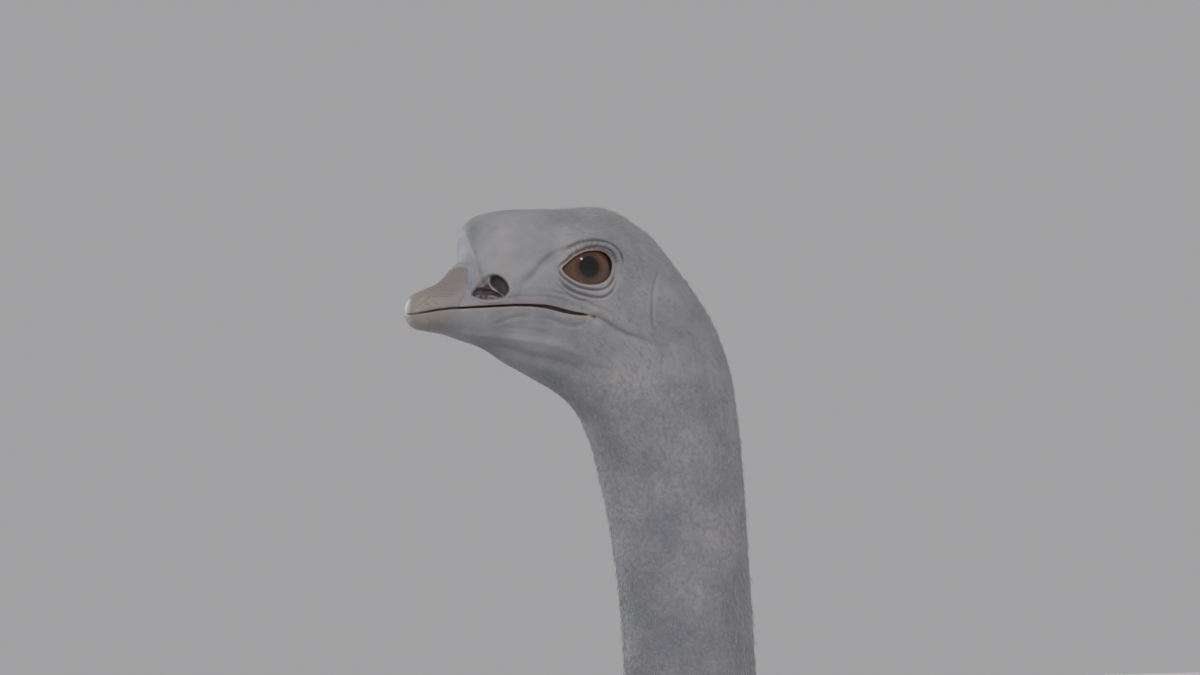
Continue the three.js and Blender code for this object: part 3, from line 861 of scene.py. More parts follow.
# Legs, from inside the plumage to the toes, in millimetres from the floor.
strides = {"left": (1, 60), "right": (-1, -70)}
legRows = limbRows([
    (150, 1010, -110, 1080, 78, 110), (156, 900, -126, 985, 84, 118), (118, 800, -150, 880, 75, 118),
    (44, 712, -161, 778, 58, 114), (-41, 645, -173, 692, 42, 109), (-85, 603, -185, 630, 34, 105),
    (-99, 570, -196, 588, 35.7, 103), (-101, 535, -189, 540, 32.2, 102),
    (-97, 497, -165, 495, 25.2, 101), (-81, 400, -136, 394, 21.7, 100), (-57, 250, -109, 244, 21.2, 99),
    (-31, 140, -89, 134, 23.2, 98), (-7, 88, -83, 74, 29.2, 97), (4, 45, -84, 32, 29, 97),
])
bigToeRows = limbRows([
    (-96, 46, -98, 15, 12, 97, 3), (-83, 77, -85, -3, 26, 97, 3), (-50, 91, -50, -3, 31.7, 97, 3.2),
    (-8, 73, -10, -3, 30.2, 97, 3.4), (32, 59, 30, -3, 28.7, 96, 3.4), (70, 52, 70, -3, 28.2, 94, 3.4),
    (100, 44, 102, -3, 25.2, 92, 3.2), (119, 32, 121, -2, 18.2, 91, 3), (129, 19, 130, 6, 7.5, 91, 2.6),
], 2.2)
smallToeRows = limbRows([
    (-70, 41, -72, 3, 11.5, 113, 3), (-55, 51, -57, -3, 18.2, 120, 3.2),
    (-20, 45, -20, -3, 18.2, 137, 3.4), (15, 37, 15, -3, 17.2, 153, 3.4),
    (42, 32, 43, -3, 15.7, 164, 3.2), (57.5, 23, 58.5, -1, 10.4, 171, 3),
    (63.5, 13.5, 64, 6, 3.6, 173, 2.6),
], 2.2)
clawRows = limbRows([
    (92, 39, 95, 15, 11.5, 92), (124, 37, 126, 6, 12.3, 91), (146, 27, 147, 3, 9.8, 90),
    (161, 15, 161, 1.5, 5.8, 89.5), (168, 7, 168, 2, 2, 89),
])
legGrid = {"leg": (44, 110), "toe": (34, 46), "claw": (32, 40)}  # lines round each and rings along it


def fromFloor(points):
    world = points * 0.001
    world[..., 1] *= -1
    return world


def closedTube(points, name):
    # Rings drawn together to a pole at both ends.
    ends = ((0.7, 0), (0.35, 0), (0, 0))
    whole = np.concatenate([drawnIn(points[0], ends[::-1]), points, drawnIn(points[-1], ends)])
    bm = gridMesh(fromFloor(whole))
    for vertex in bm.verts:
        vertex.co.z = max(vertex.co.z, 0)
    return finishMesh(bm, name)


def legShape(rows, grid, side, stride, carve=None):
    lines, rings = grid
    stations = np.linspace(0, len(rows) - 1, rings)
    angles = np.linspace(0, 2 * math.pi, lines + 1)
    at = rowAt(rows, stations)
    points = ringPoints(at, np.broadcast_to(angles, (rings, lines + 1)))
    points[..., 0] = side * (points[..., 0] + at[:, None, 8])
    points[..., 1] += stride
    if carve is not None:
        away = points - points[:, :-1].mean(axis=1, keepdims=True)
        size = np.linalg.norm(away, axis=-1, keepdims=True)
        points = points - away / size * carve(stations[:, None], angles[None])[..., None]
    return points


def tendons(stations, angles):
    # Hollows down both sides of the shank, between the bone in front and the tendon behind.
    turn = np.minimum(angles, 2 * math.pi - angles)

    def hollow(deep, middle, width, start, end):
        held = smoothStep(*start, stations) * (1 - smoothStep(*end, stations))
        return deep * np.exp(-(((turn - middle) / width) ** 2)) * held

    depth = hollow(3.2, 1.75, 0.34, (7.2, 8.2), (11, 12.3))
    depth += hollow(3.0, 1.6, 0.3, (5, 6), (6.6, 7.6))  # over the ankle
    return depth + hollow(4.5, 1.9, 0.25, (0, 2), (3.4, 5.2))  # behind the muscle


def toePads(stations, angles):
    # Creases between the pads under the toe and wrinkles over its joints.
    under = np.exp(-(((angles - math.pi) / 1.15) ** 2))
    depth = 0
    for joint in (2.6, 4.1, 5.3):
        depth = depth + 2.4 * np.exp(-(((stations - joint) / 0.13) ** 2)) * under
    return depth + 0.35 * np.sin(stations * 31) * (1 - under) * smoothStep(1.5, 2.5, stations)


def united(base, other):
    join = base.modifiers.new("join", "BOOLEAN")
    join.operation = "UNION"
    join.solver = "MANIFOLD"
    join.object = other
    graph = bpy.context.evaluated_depsgraph_get()
    mesh = bpy.data.meshes.new_from_object(base.evaluated_get(graph))
    base.modifiers.clear()
    base.data = mesh
    old = other.data
    bpy.data.objects.remove(other)
    bpy.data.meshes.remove(old)


def treeOf(piece):
    bm = bmesh.new()
    bm.from_mesh(piece.data)
    tree = BVHTree.FromBMesh(bm)
    bm.free()
    return tree


def softenJoin(piece, treeA, treeB, reach, rounds):
    # Smooths the corner where two shapes meet.
    bm = bmesh.new()
    bm.from_mesh(piece.data)
    near = []
    for v in bm.verts:
        if v.co.z < 0.004:
            continue
        if all(tree.find_nearest(v.co, reach)[0] is not None for tree in (treeA, treeB)):
            near.append(v)
    for _ in range(rounds):
        bmesh.ops.smooth_vert(bm, verts=near, factor=0.5, use_axis_x=True, use_axis_y=True, use_axis_z=True)
    # The union leaves its faces in no fixed order, so they are put in one.
    count = len(bm.verts)

    def faceOrder(face):
        a, b, c = sorted(v.index for v in face.verts)[:3]
        return (a * count + b) * count + c

    bm.faces.sort(key=faceOrder)
    bm.to_mesh(piece.data)
    bm.free()


def buildLeg(side, stride):
    shapes = ((legRows, "leg", tendons), (bigToeRows, "toe", toePads), (smallToeRows, "toe", toePads))
    leg, big, small = [
        closedTube(legShape(rows, legGrid[name], side, stride, carve), name) for rows, name, carve in shapes
    ]
    trees = [treeOf(piece) for piece in (leg, big, small)]
    united(leg, big)
    softenJoin(leg, trees[0], trees[1], 0.006, 10)
    united(leg, small)
    softenJoin(leg, trees[1], trees[2], 0.005, 8)
    return leg


def buildSkin():
    skin = buildBodySkin()
    print("skin: head, neck and trunk,", len(skin.data.polygons), "faces")
    for side, stride in strides.values():
        leg = buildLeg(side, stride)
        trees = treeOf(skin), treeOf(leg)
        united(skin, leg)
        softenJoin(skin, *trees, 0.02, 6)
    skin.data.shade_smooth()
    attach(skin, "root")
    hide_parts("head", "neck_upper", "neck_middle", "neck_lower", "trunk")
    for name in strides:
        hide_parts("thigh_" + name, "shank_" + name, "toe_big_" + name, "toe_small_" + name)
    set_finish(skin, "skin")
    skin.data.calc_loop_triangles()
    print("skin: with legs,", len(skin.data.loop_triangles), "triangles")
    return skin


def buildClaws():
    for name, (side, stride) in strides.items():
        claw = closedTube(legShape(clawRows, legGrid["claw"], side, stride), "nail_" + name)
        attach(claw, "root")
        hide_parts("claw_" + name)
        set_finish(claw, "claw")


# The ball, the bulge of its clear front, and how far it draws back beyond the lids, so that their
# folds can sink over it.
eyeball = {"around": 96, "across": 64, "bulge": 0.9, "bulgeWidth": 10.5, "back": 2.4, "hiding": (0.8, 3.0)}


def buildEyes():
    openingAt = radiusRound(eyeOpening, np.zeros(2))
    for name, side in (("eye_left", 1), ("eye_right", -1)):
        bm = bmesh.new()
        bmesh.ops.create_uvsphere(bm, u_segments=eyeball["around"], v_segments=eyeball["across"], radius=1)
        for v in bm.verts:
            z, y, x = v.co
            radius = math.hypot(y, z) * eyeAcross
            hidden = smoothStep(*eyeball["hiding"], radius - openingAt(math.atan2(z, -y)))
            clear = eyeball["bulge"] * math.exp(-((radius / eyeball["bulgeWidth"]) ** 4)) * (x > 0)
            out = eyeOut + x * eyeDeep + (clear - eyeball["back"] * hidden)
            v.co = toWorld(np.array([side * out, -y * eyeAcross, z * eyeAcross]))
        ball = finishMesh(bm, name.replace("eye", "eyeball"))
        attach(ball, "root")
        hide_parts(name)
        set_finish(ball, "eye")


# Plumage. Its outer surface, row by row from the collar to the vent, as in the table of the head.
outerTrunk = limbRows([
    (-224, -875, -84, -872, 70), (-250, -904, -70, -950, 96), (-294, -924, -56, -1055, 148),
    (-351, -930, -64, -1175, 198), (-426, -924, -111, -1300, 235), (-506, -916, -211, -1410, 256),
    (-606, -913, -376, -1485, 265), (-721, -915, -546, -1513, 265), (-836, -943, -726, -1500, 255),
    (-946, -995, -886, -1450, 225), (-1031, -1070, -1006, -1375, 170), (-1086, -1150, -1081, -1300, 95),
    (-1108, -1210, -1106, -1250, 35),
])
outerTail = limbRows([
    (-926, -1030, -976, -1240, 90), (-1026, -1010, -1046, -1315, 135), (-1136, -1050, -1116, -1400, 165),
    (-1221, -1160, -1176, -1480, 158), (-1266, -1300, -1216, -1510, 125),
    (-1276, -1400, -1242, -1500, 70), (-1268, -1450, -1250, -1485, 22),
])
firstTrunkRow = 31


def ringAt(rows, t, turn):
    return ringPoints(rowAt(rows, t.ravel()), turn.reshape(-1, 1))[:, 0].reshape(*t.shape, 3)


def coatPoint(t, turn, level):
    # Between the skin of the trunk, at level 0, and the outside of its plumage, at 1.
    skinSide = ringAt(headRows, firstTrunkRow + t, turn)
    airSide = ringAt(outerTrunk, t, turn)
    return skinSide + (airSide - skinSide) * level[..., None]


def tailPoint(t, turn, level):
    middle = ringMiddles(rowAt(outerTail, t.ravel()), 0.0, t.shape)
    return middle + (ringAt(outerTail, t, turn) - middle) * level[..., None]


def outwards(rows, t, turn):
    # Away from the surface of a table of rings.
    t = np.clip(t, 0.03, len(rows) - 1.06)
    along = ringAt(rows, t + 0.03, turn) - ringAt(rows, t - 0.03, turn)
    across = ringAt(rows, t, turn + 0.03) - ringAt(rows, t, turn - 0.03)
    return unit(np.cross(along, across))


def coatPiece(name, points, quads, triangles, tufts, tones, slotName, outward=None, nodes=()):
    # One joined mesh of many small shapes. Tufts are each point's place on the map of the coat, and
    # outward its normal, which follows the body, so that the coat shades as one soft mass.
    corners = np.concatenate([quads.ravel(), triangles.ravel()])
    sizes = np.concatenate([np.full(len(quads), 4), np.full(len(triangles), 3)])
    mesh = bpy.data.meshes.new(name)
    mesh.vertices.add(len(points))
    mesh.vertices.foreach_set("co", np.ascontiguousarray(points, dtype=np.float32).ravel())
    mesh.loops.add(len(corners))
    mesh.loops.foreach_set("vertex_index", corners.astype(np.int32))
    mesh.polygons.add(len(sizes))
    mesh.polygons.foreach_set("loop_start", np.concatenate([[0], np.cumsum(sizes)[:-1]]).astype(np.int32))
    mesh.update(calc_edges=True)
    mesh.validate()
    layer = mesh.uv_layers.new(name="OFBake")
    layer.data.foreach_set("uv", tufts[corners].astype(np.float32).ravel())
    tone = mesh.attributes.new("tone", "FLOAT", "POINT")
    tone.data.foreach_set("value", tones.astype(np.float32))
    mesh.shade_smooth()
    if outward is not None:
        mesh.normals_split_custom_set_from_vertices(unit(outward * [1, -1, 1]).astype(np.float32))
    piece = newObject(name, mesh)
    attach(piece, "root")
    if nodes:
        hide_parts(*nodes)
    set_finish(piece, slotName)
    print(name + ":", 2 * len(quads) + len(triangles), "triangles")


def eachCopy(faces, count, each, start=0):
    # The faces of one small shape, repeated for every copy of its points.
    return (faces[None] + start + (np.arange(count) * each)[:, None, None]).reshape(-1, faces.shape[1])


def tubeFaces(rings):
    # Faces of a thin tube of three sides.
    turn = np.arange(3)[None, :, None]
    first = np.arange(rings)[:, None, None] * 3
    after = (turn + 1) % 3
    corners = [first + turn, first + after, first + 3 + after, first + 3 + turn]
    return np.concatenate(corners, axis=2).reshape(-1, 4)


coatReach = {"side": -0.022, "behind": -0.005, "room": 0.03}


def insideBox(world):
    # Tips that blow past the outline of the solids are pressed in to it.
    for axis, sign, limit in ((0, 1, cadBox[1].x), (0, -1, -cadBox[0].x), (1, 1, cadBox[1].y)):
        start = limit + coatReach["side" if axis == 0 else "behind"]
        over = np.maximum(world[:, axis] * sign - start, 0)
        room = coatReach["room"]
        world[:, axis] -= sign * (over - room * (1 - np.exp(-over / room)))
    return world


round3 = np.arange(3) * 2 * math.pi / 3


def vaneArrays(paths, normals, look, chance):
    # Shafts and barbs of many plumes. Paths and normals hold some points along each plume, in
    # millimetres; look says how wide, loose and drooping the barbs are.
    plumes, steps = paths.shape[:2]
    along = unit(np.gradient(paths, axis=1))
    normals = unit(normals - along * (normals * along).sum(-1, keepdims=True))
    across = np.cross(along, normals)
    size = np.linalg.norm(np.diff(paths, axis=1), axis=-1).sum(1)
    barbs = look["barbs"]
    u = (np.arange(barbs) + 0.5) / barbs * (1 - look["bare"]) + look["bare"]
    u = np.clip(u[None] + chance.normal(0, 0.25 / barbs, (plumes, barbs)), 0, 1)
    where = u * (steps - 1)
    low = np.minimum(where.astype(int), steps - 2)
    f = (where - low)[..., None]
    pick = np.arange(plumes)[:, None]

    def between(values):
        return values[pick, low] * (1 - f) + values[pick, low + 1] * f

    base, tangent, normal, side = between(paths), *(unit(between(way)) for way in (along, normals, across))
    shape = 0.45 + 0.55 * np.sin(np.clip(u * 1.25, 0, 1) * math.pi / 2)
    shape = shape * (1 - smoothStep(0.72, 1.08, u) * look["tipShort"])
    reach = look["wide"] * size[:, None] * shape
    bends = np.array(look["bends"])
    points, tones, tufts, faced = [], [], [], []
    for sign in (1, -1):
        # Barbs gather in locks, whose tips draw together and curl as one.
        inLock = u * barbs / look["lock"] + chance.uniform(0, 1, (plumes, 1))
        lock = inLock.astype(int)
        gather = (lock + 0.5 - inLock) * look["lock"] / barbs * size[:, None]

        def perLock(spread):
            return chance.normal(0, spread, (plumes, lock.max() + 1))[pick, lock]

        length = reach * (1 + perLock(look["ragged"]) + chance.normal(0, 0.1, reach.shape))
        lean = look["lean"][0] + (look["lean"][1] - look["lean"][0]) * u
        lean = np.radians(lean + perLock(8) + chance.normal(0, 4, u.shape))
        heading = tangent * np.cos(lean)[..., None] + side * (sign * np.sin(lean))[..., None]
        flatWay = np.cross(normal, heading)
        tilt = look["tilt"] + chance.normal(0, 0.25, u.shape)
        wide = flatWay * np.cos(tilt)[..., None] + normal * np.sin(tilt)[..., None]
        wave, swing = perLock(look["curl"])[..., None], perLock(look["curl"] * 0.7)[..., None]
        for k, bend in enumerate(bends):
            s = length[..., None] * bend
            curl = (normal * wave + flatWay * swing) * (s * bend)
            spot = base + heading * s + tangent * (look["hook"] * s * bend) + curl
            spot = spot + tangent * (gather * 0.8 * bend**1.5)[..., None]
            spot[..., 2] -= (look["droop"] * s * bend)[..., 0]
            half = look["barb"] * 0.5 * (1 - bend**1.6)
            for edge in (1, -1) if k < len(bends) - 1 else (0,):
                points.append(spot + wide * (edge * half))
                faced.append(normal - flatWay * (0.4 * np.sin(tilt))[..., None] + heading * (0.3 * bend))
                tones.append(np.broadcast_to(0.25 + 0.75 * bend, u.shape))
                tufts.append(np.stack([np.full(u.shape, sign * bend * 0.0014), (u - 0.5) * 0.0026], axis=-1))
    perBarb = 2 * (len(bends) - 1) + 1
    points, faced, tufts = [
        np.stack(part, axis=2).reshape(plumes, barbs * 2 * perBarb, -1) for part in (points, faced, tufts)
    ]
    tones = np.stack(tones, axis=2).reshape(plumes, -1)
    first = np.arange(barbs * 2)[:, None] * perBarb
    quads = [first + np.array([2 * k, 2 * k + 1, 2 * k + 3, 2 * k + 2]) for k in range(len(bends) - 2)]
    quads = np.stack(quads, axis=1).reshape(-1, 4)
    triangles = first + np.arange(perBarb - 3, perBarb)
    # The shaft, a tapering tube of three sides.
    taper = look["shaft"] * (1 - 0.85 * np.linspace(0, 1, steps))
    sides = normals[:, :, None] * np.cos(round3)[:, None] + across[:, :, None] * np.sin(round3)[:, None]
    shaft = paths[:, :, None] + sides * (taper / 2)[:, None, None]
    tube = points.shape[1] + tubeFaces(steps - 1)
    points = np.concatenate([points, shaft.reshape(plumes, -1, 3)], axis=1)
    tones = np.concatenate([tones, np.zeros((plumes, steps * 3))], axis=1)
    shaftTufts = np.zeros((plumes, steps * 3, 2))
    shaftTufts[..., 1] = np.repeat(np.linspace(-0.0013, 0.0013, steps), 3)
    tufts = np.concatenate([tufts, shaftTufts], axis=1)
    faced = np.concatenate([faced, np.repeat(normals, 3, axis=1)], axis=1)
    return points, quads, tube, triangles, tufts, tones, faced


def plumePiece(name, paths, normals, places, look, slotName, nodes, chance):
    points, quads, tube, triangles, tufts, tones, faced = vaneArrays(paths, normals, look, chance)
    plumes, each = points.shape[:2]
    tones = tones * 0.5 + chance.uniform(0, 0.5, plumes)[:, None]
    tufts = tufts + places[:, None]
    world, faced = insideBox(toWorld(points.reshape(-1, 3))), faced.reshape(-1, 3)

    def facing(shape):
        # Each barb shows its face away from the body.
        faces = eachCopy(shape, plumes, each)
        a, b, c = (world[faces[:, k]] for k in range(3))
        inward = (np.cross(b - a, c - a) * faced[faces[:, 0]] * [1, -1, 1]).sum(-1) < 0
        return np.where(inward[:, None], faces[:, ::-1], faces)

    quads = np.concatenate([facing(quads), eachCopy(tube, plumes, each)])
    tufts = tufts.reshape(-1, 2)
    coatPiece(name, world, quads, facing(triangles), tufts, tones.ravel(), slotName, faced, nodes)


bodyPlume = {
    "rowGap": 27, "gap": 29, "steps": 7, "barbs": 31, "bare": 0.04, "wide": 0.25, "lean": (56, 30),
    "bends": (0, 0.38, 0.74, 1), "barb": 2.4, "shaft": 0.9, "droop": 0.3, "curl": 0.24, "ragged": 0.2,
    "tilt": 0.4, "tipShort": 0.45, "hook": 0.5, "lock": 4,
}


def staggered(row, count):
    # Even places along a row, each between two of the row before.
    return (np.arange(count) + (0.25 if row % 2 else 0.75)) / count


def bodyRoots(chance):
    # Rows of roots round the trunk, staggered: how far back each is, and its turn from the top.
    stations = stationsBetween(
        outerTrunk, 0.05, 11.5, lambda t: bodyPlume["rowGap"] * (0.5 + 0.5 * smoothStep(0, 3, t))
    )
    half = np.linspace(0, math.pi, 60)
    roots = []
    for i, t in enumerate(stations):
        length = runLength(ringAt(outerTrunk, np.full(60, t), half))
        gap = bodyPlume["gap"] * (0.5 + 0.5 * smoothStep(0, 3, t))
        count = max(4, int(length[-1] / gap))
        spots = staggered(i, count) + chance.uniform(-0.25, 0.25, count) / count
        turns = np.interp(np.clip(spots, 0, 1) * length[-1], length, half)
        roots += [(t + chance.uniform(-0.1, 0.1), turn) for turn in turns]
    return np.array(roots)


# Upper and lower edge of the folded wing, from the shoulder back, in millimetres from the floor, and
# how far the shoulder and the tip of the wing reach.
wingOutline = np.array([
    (372, 1200, 1150), (315, 1270, 1060), (170, 1305, 985), (-5, 1298, 925),
    (-180, 1250, 870), (-320, 1155, 830), (-408, 1010, 840), (-440, 930, 885),
], float)
wingShape = {"shoulder": 360, "tip": -430, "middle": 576, "eyeHeight": 2300}
wingTrees = {}


def wingEdge(ahead, column):
    return np.interp(ahead, wingOutline[::-1, 0], wingOutline[::-1, column])


def isUnderWing(ahead, up, margin):
    ahead = ahead + wingShape["middle"]
    up = up + wingShape["eyeHeight"]
    within = (up < wingEdge(ahead, 1) - margin) & (up > wingEdge(ahead, 2) + margin)
    return within & (ahead < wingShape["shoulder"] - margin) & (ahead > wingShape["tip"] + margin)


def sideTree(name):
    # The outside of one flank, from the solids of the wing, trunk and tail.
    if name not in wingTrees:
        bm = bmesh.new()
        for node in ("wing_" + name, "trunk", "tail"):
            bm.from_mesh(frame["nodes"][node].data)
        wingTrees[name] = BVHTree.FromBMesh(bm)
        bm.free()
    return wingTrees[name]


def flankOut(name, ahead, up):
    # How far out the flank stands at a place seen side on, in millimetres from the middle.
    side = strides[name][0]
    spot = toWorld(np.array([0, ahead, up]))
    hit = sideTree(name).ray_cast(Vector((side * 0.6, spot[1], spot[2])), Vector((-side, 0, 0)))[0]
    return None if hit is None else abs(hit.x) * 1000


def buildBodyPlumes():
    chance = np.random.default_rng(7)
    sets = []
    for side in (1, -1):
        t0, turn0 = bodyRoots(chance).T
        t0 = np.where(t0 < 0.5, 0.06 + np.abs(chance.normal(0, 0.28, len(t0))), t0)
        here = coatPoint(t0, turn0, np.ones(len(t0)))
        covered = isUnderWing(here[:, 1], here[:, 2], 92) & (here[:, 0] > 120)
        t0, turn0 = t0[~covered], turn0[~covered]
        count = len(t0)
        level = np.ones(count)
        size = 70 + 150 * smoothStep(0, 3.5, t0) - 40 * smoothStep(8, 11.5, t0)
        size = size * (1 - 0.22 * np.exp(-((turn0 / 0.6) ** 2))) * chance.uniform(0.85, 1.15, count)
        # How long one step back and one turn round are here.
        behind = coatPoint(t0 + 0.05, turn0, level) - coatPoint(t0 - 0.05, turn0, level)
        beside = coatPoint(t0, turn0 + 0.02, level) - coatPoint(t0, turn0 - 0.02, level)
        ahead, around = np.linalg.norm(behind, axis=-1) / 0.1, np.linalg.norm(beside, axis=-1) / 0.04
        sweep = 0.42 * np.sin(turn0) + chance.normal(0, 0.26, count)
        u = np.linspace(0, 1, bodyPlume["steps"])[None]
        size = np.minimum(size, 1.1 * (11.9 - t0) * ahead)
        t = t0[:, None] + u * (size * np.cos(sweep) / ahead)[:, None]
        bow = chance.normal(0, 0.2, count)[:, None] * u
        turn = turn0[:, None] + u * (np.sin(sweep)[:, None] + bow) * (size / np.maximum(around, 60))[:, None]
        top = chance.uniform(0.74, 1.0, count)[:, None]
        path = coatPoint(t, turn, 0.15 + (top - 0.15) * smoothStep(0, 0.62, u))
        normal = outwards(outerTrunk, t, turn)
        place = np.column_stack([0.5 + side * turn0 / (2 * math.pi) * 0.98, 0.02 + 0.96 * t0 / 12])
        sets.append((path * [side, 1, 1], normal * [side, 1, 1], place))
    paths, normals, places = (np.concatenate(part) for part in zip(*sets))
    parts = 1 + len(paths) * (bodyPlume["barbs"] * 10 + (bodyPlume["steps"] - 1) * 6) // 190000
    for i, some in enumerate(np.array_split(np.argsort(places[:, 1], kind="stable"), parts)):
        plumePiece(
            f"plumes_body_{i + 1}", paths[some], normals[some], places[some], bodyPlume, "black_plumage",
            ("trunk",) if i == 0 else (), chance,
        )


def flankPaths(name, roots, headings, sizes, steps, levels, depth, tucks):
    # Plumes laid over the flank, given side on. Tucks says how far each root goes in under the back.
    side = strides[name][0]
    u = np.linspace(0, 1, steps)
    rising = smoothStep(0, 0.5, u)
    paths, normals = [], []
    for root, heading, size, level, tuck in zip(roots, headings, sizes, levels, tucks):
        ahead = root[0] - np.cos(heading) * size * u
        up = root[1] - np.sin(heading) * size * u - 0.1 * size * u**2
        up = up - 0.16 * size * np.maximum(u - 0.6, 0) ** 2 / 0.16
        out = np.empty(steps)
        last = 200.0
        for i in range(steps):
            found = flankOut(name, ahead[i], up[i])
            last = found if found is not None else last - 4
            out[i] = last
        out = np.convolve(np.pad(out, 2, mode="edge"), np.ones(5) / 5, mode="valid")
        lift = level * rising + (1 - rising) * 0.1
        out = out - depth * (1 - lift) - tuck * (1 - 0.65 * smoothStep(0, 0.75, u))
        paths.append(np.column_stack([side * out, ahead, up]))
        slope = np.gradient(out, ahead)
        normals.append(np.column_stack([np.full(steps, float(side)), -slope, np.zeros(steps)]))
    return np.array(paths), np.array(normals)


covertPlume = dict(bodyPlume, barbs=26)
wingPlume = {
    "steps": 13, "barbs": 104, "bare": 0.06, "wide": 0.2, "lean": (64, 40), "bends": (0, 0.26, 0.54, 0.8, 1),
    "barb": 2.4, "shaft": 2.6, "droop": 0.3, "curl": 0.36, "ragged": 0.2, "tilt": 0.3, "tipShort": 0.25,
    "hook": 0.5, "lock": 7,
}
# Three tiers of quills: how many, how far they stand above the middle tier, how proud, how long.
wingTiers = ((17, -38, 0.45, 330), (18, 0, 0.72, 350), (15, 40, 1.0, 300))


def wingPlaces(name, roots, height):
    # Places on the map of the coat: each wing has its own part of it.
    across = (0.25 if name == "left" else 0.75) + roots[:, 0] * 0.0002
    return np.column_stack([across, height + (roots[:, 1] + 1200) * 0.0005])


def buildWings():
    chance = np.random.default_rng(11)
    middle, eyeHeight = wingShape["middle"], wingShape["eyeHeight"]
    for name in strides:
        # Black coverts over the upper, forward part.
        roots = []
        for ahead in np.arange(370, -330, -30):
            for up in np.arange(1320, 1000, -30):
                a, h = ahead + chance.uniform(-10, 10) - middle, up + chance.uniform(-10, 10) - eyeHeight
                if isUnderWing(np.array(a), np.array(h), 4) and up > 1040 + 0.12 * (ahead - 60):
                    roots.append((a, h))
        roots = np.array(roots)
        count = len(roots)
        sizes = chance.uniform(130, 175, count) * (0.65 + 0.35 * smoothStep(-200, -330, roots[:, 0]))
        headings = 0.42 + chance.normal(0, 0.2, count)
        levels = chance.uniform(0.7, 1.0, count)
        tucks = 62 * smoothStep(75, 5, wingEdge(roots[:, 0] + middle, 1) - roots[:, 1] - eyeHeight)
        vanes = flankPaths(name, roots, headings, sizes, covertPlume["steps"], levels, 34, tucks)
        places = wingPlaces(name, roots, 0.5)
        plumePiece("coverts_" + name, *vanes, places, covertPlume, "black_plumage", (), chance)
        # White quills in three tiers below and behind them.
        roots, headings, sizes, levels = [], [], [], []
        for tier, (count, rise, level, longest) in enumerate(wingTiers):
            for k in range(count):
                share = (k + 0.5 * (tier % 2)) / count
                a = 250 - 455 * share + chance.uniform(-8, 8)
                roots.append((a - middle, 1078 + 42 * share + rise - eyeHeight))
                headings.append(0.36 + 0.34 * share + chance.normal(0, 0.04))
                sizes.append(longest * chance.uniform(0.93, 1.05) * (1 - 0.1 * share))
                levels.append(level + chance.uniform(-0.06, 0.06))
        roots = np.array(roots)
        tucks = np.zeros(len(roots))
        vanes = flankPaths(name, roots, headings, sizes, wingPlume["steps"], levels, 42, tucks)
        places, nodes = wingPlaces(name, roots, 0.3), ("wing_" + name,)
        plumePiece("quills_" + name, *vanes, places, wingPlume, "white_plumage", nodes, chance)


tailPlume = dict(wingPlume, barbs=96, wide=0.15, droop=0.34)
# Tiers of the tail: how many, how far out they lie, where they start and end.
tailTiers = ((22, 0.97, 1.0, 5.2), (20, 0.72, 0.8, 5.6), (14, 0.42, 0.8, 5.3))


def buildTail():
    chance = np.random.default_rng(13)
    paths, normals, places = [], [], []
    u = np.linspace(0, 1, tailPlume["steps"])
    for tier, (count, level, start, end) in enumerate(tailTiers):
        for k in range(count):
            turn = -math.pi + 2 * math.pi * (k + 0.5 * (tier % 2)) / count + chance.uniform(-0.06, 0.06)
            t = start + (end - start) * u * chance.uniform(0.92, 1.04)
            lift = 0.25 + (level - 0.25) * smoothStep(0, 0.4, u)
            turns = turn + chance.normal(0, 0.22) * u**2
            paths.append(tailPoint(t, turns, lift))
            normals.append(outwards(outerTail, t, turns))
            places.append((0.5 + turn / (2 * math.pi) * 0.96, 0.1 + 0.25 * tier))
    vanes = np.array(paths), np.array(normals), np.array(places)
    plumePiece("quills_tail", *vanes, tailPlume, "white_plumage", ("tail",), chance)


# Down, and lashes. Each hair is a thin cone on the skin, bent along the lie of the coat.
def hairPiece(name, roots, normals, flows, places, lengths, thick, look, slotName, chance):
    count = len(roots)
    side = unit(np.cross(normals, flows))
    flows = unit(np.cross(side, normals))
    rings = look["rings"]
    lift = np.radians(look["lift"] + chance.normal(0, look["mess"], count))[:, None]
    swing = chance.normal(0, math.radians(look["mess"]), count)[:, None]
    points, tones, tufts = [], [], []
    for k, u in enumerate(np.linspace(0, 1, rings + 1)):
        angle = lift * (1 - look["bend"] * u)
        along = flows * np.cos(angle) * np.cos(swing) + side * np.cos(angle) * np.sin(swing)
        along = along + normals * np.sin(angle)
        spot = roots - normals * 0.3 if k == 0 else spot + along * (lengths / rings)[:, None]
        width = thick[:, None] * (1 - u**1.4) / 2
        for turn in round3 if k < rings else round3[:1]:
            points.append(spot + (side * math.cos(turn) + normals * math.sin(turn)) * width)
            tones.append(np.full(count, u))
            tufts.append(np.tile([0.0013 * math.cos(turn), (u - 0.5) * 0.0026], (count, 1)))
    each = len(points)
    points = np.stack(points, axis=1).reshape(-1, 3)
    tones = (np.stack(tones, axis=1) * 0.5 + chance.uniform(0, 0.5, count)[:, None]).ravel()
    tufts = (np.stack(tufts, axis=1) + places[:, None]).reshape(-1, 2)
    turn, top = np.arange(3), 3 * (rings - 1)
    tips = np.stack([top + turn, top + (turn + 1) % 3, np.full(3, top + 3)], axis=1)
    quads, triangles = eachCopy(tubeFaces(rings - 1), count, each), eachCopy(tips, count, each)
    coatPiece(name, toWorld(points), quads, triangles, tufts, tones, slotName)


# Down: from where it grows and to where, how many hairs, and how they stand.
down = {
    "head": (-125, 60, 9000, {"rings": 2, "lift": 22, "mess": 14, "bend": 0.7}),
    "neck": (-892, -125, 21000, {"rings": 2, "lift": 26, "mess": 17, "bend": 0.8}),
}


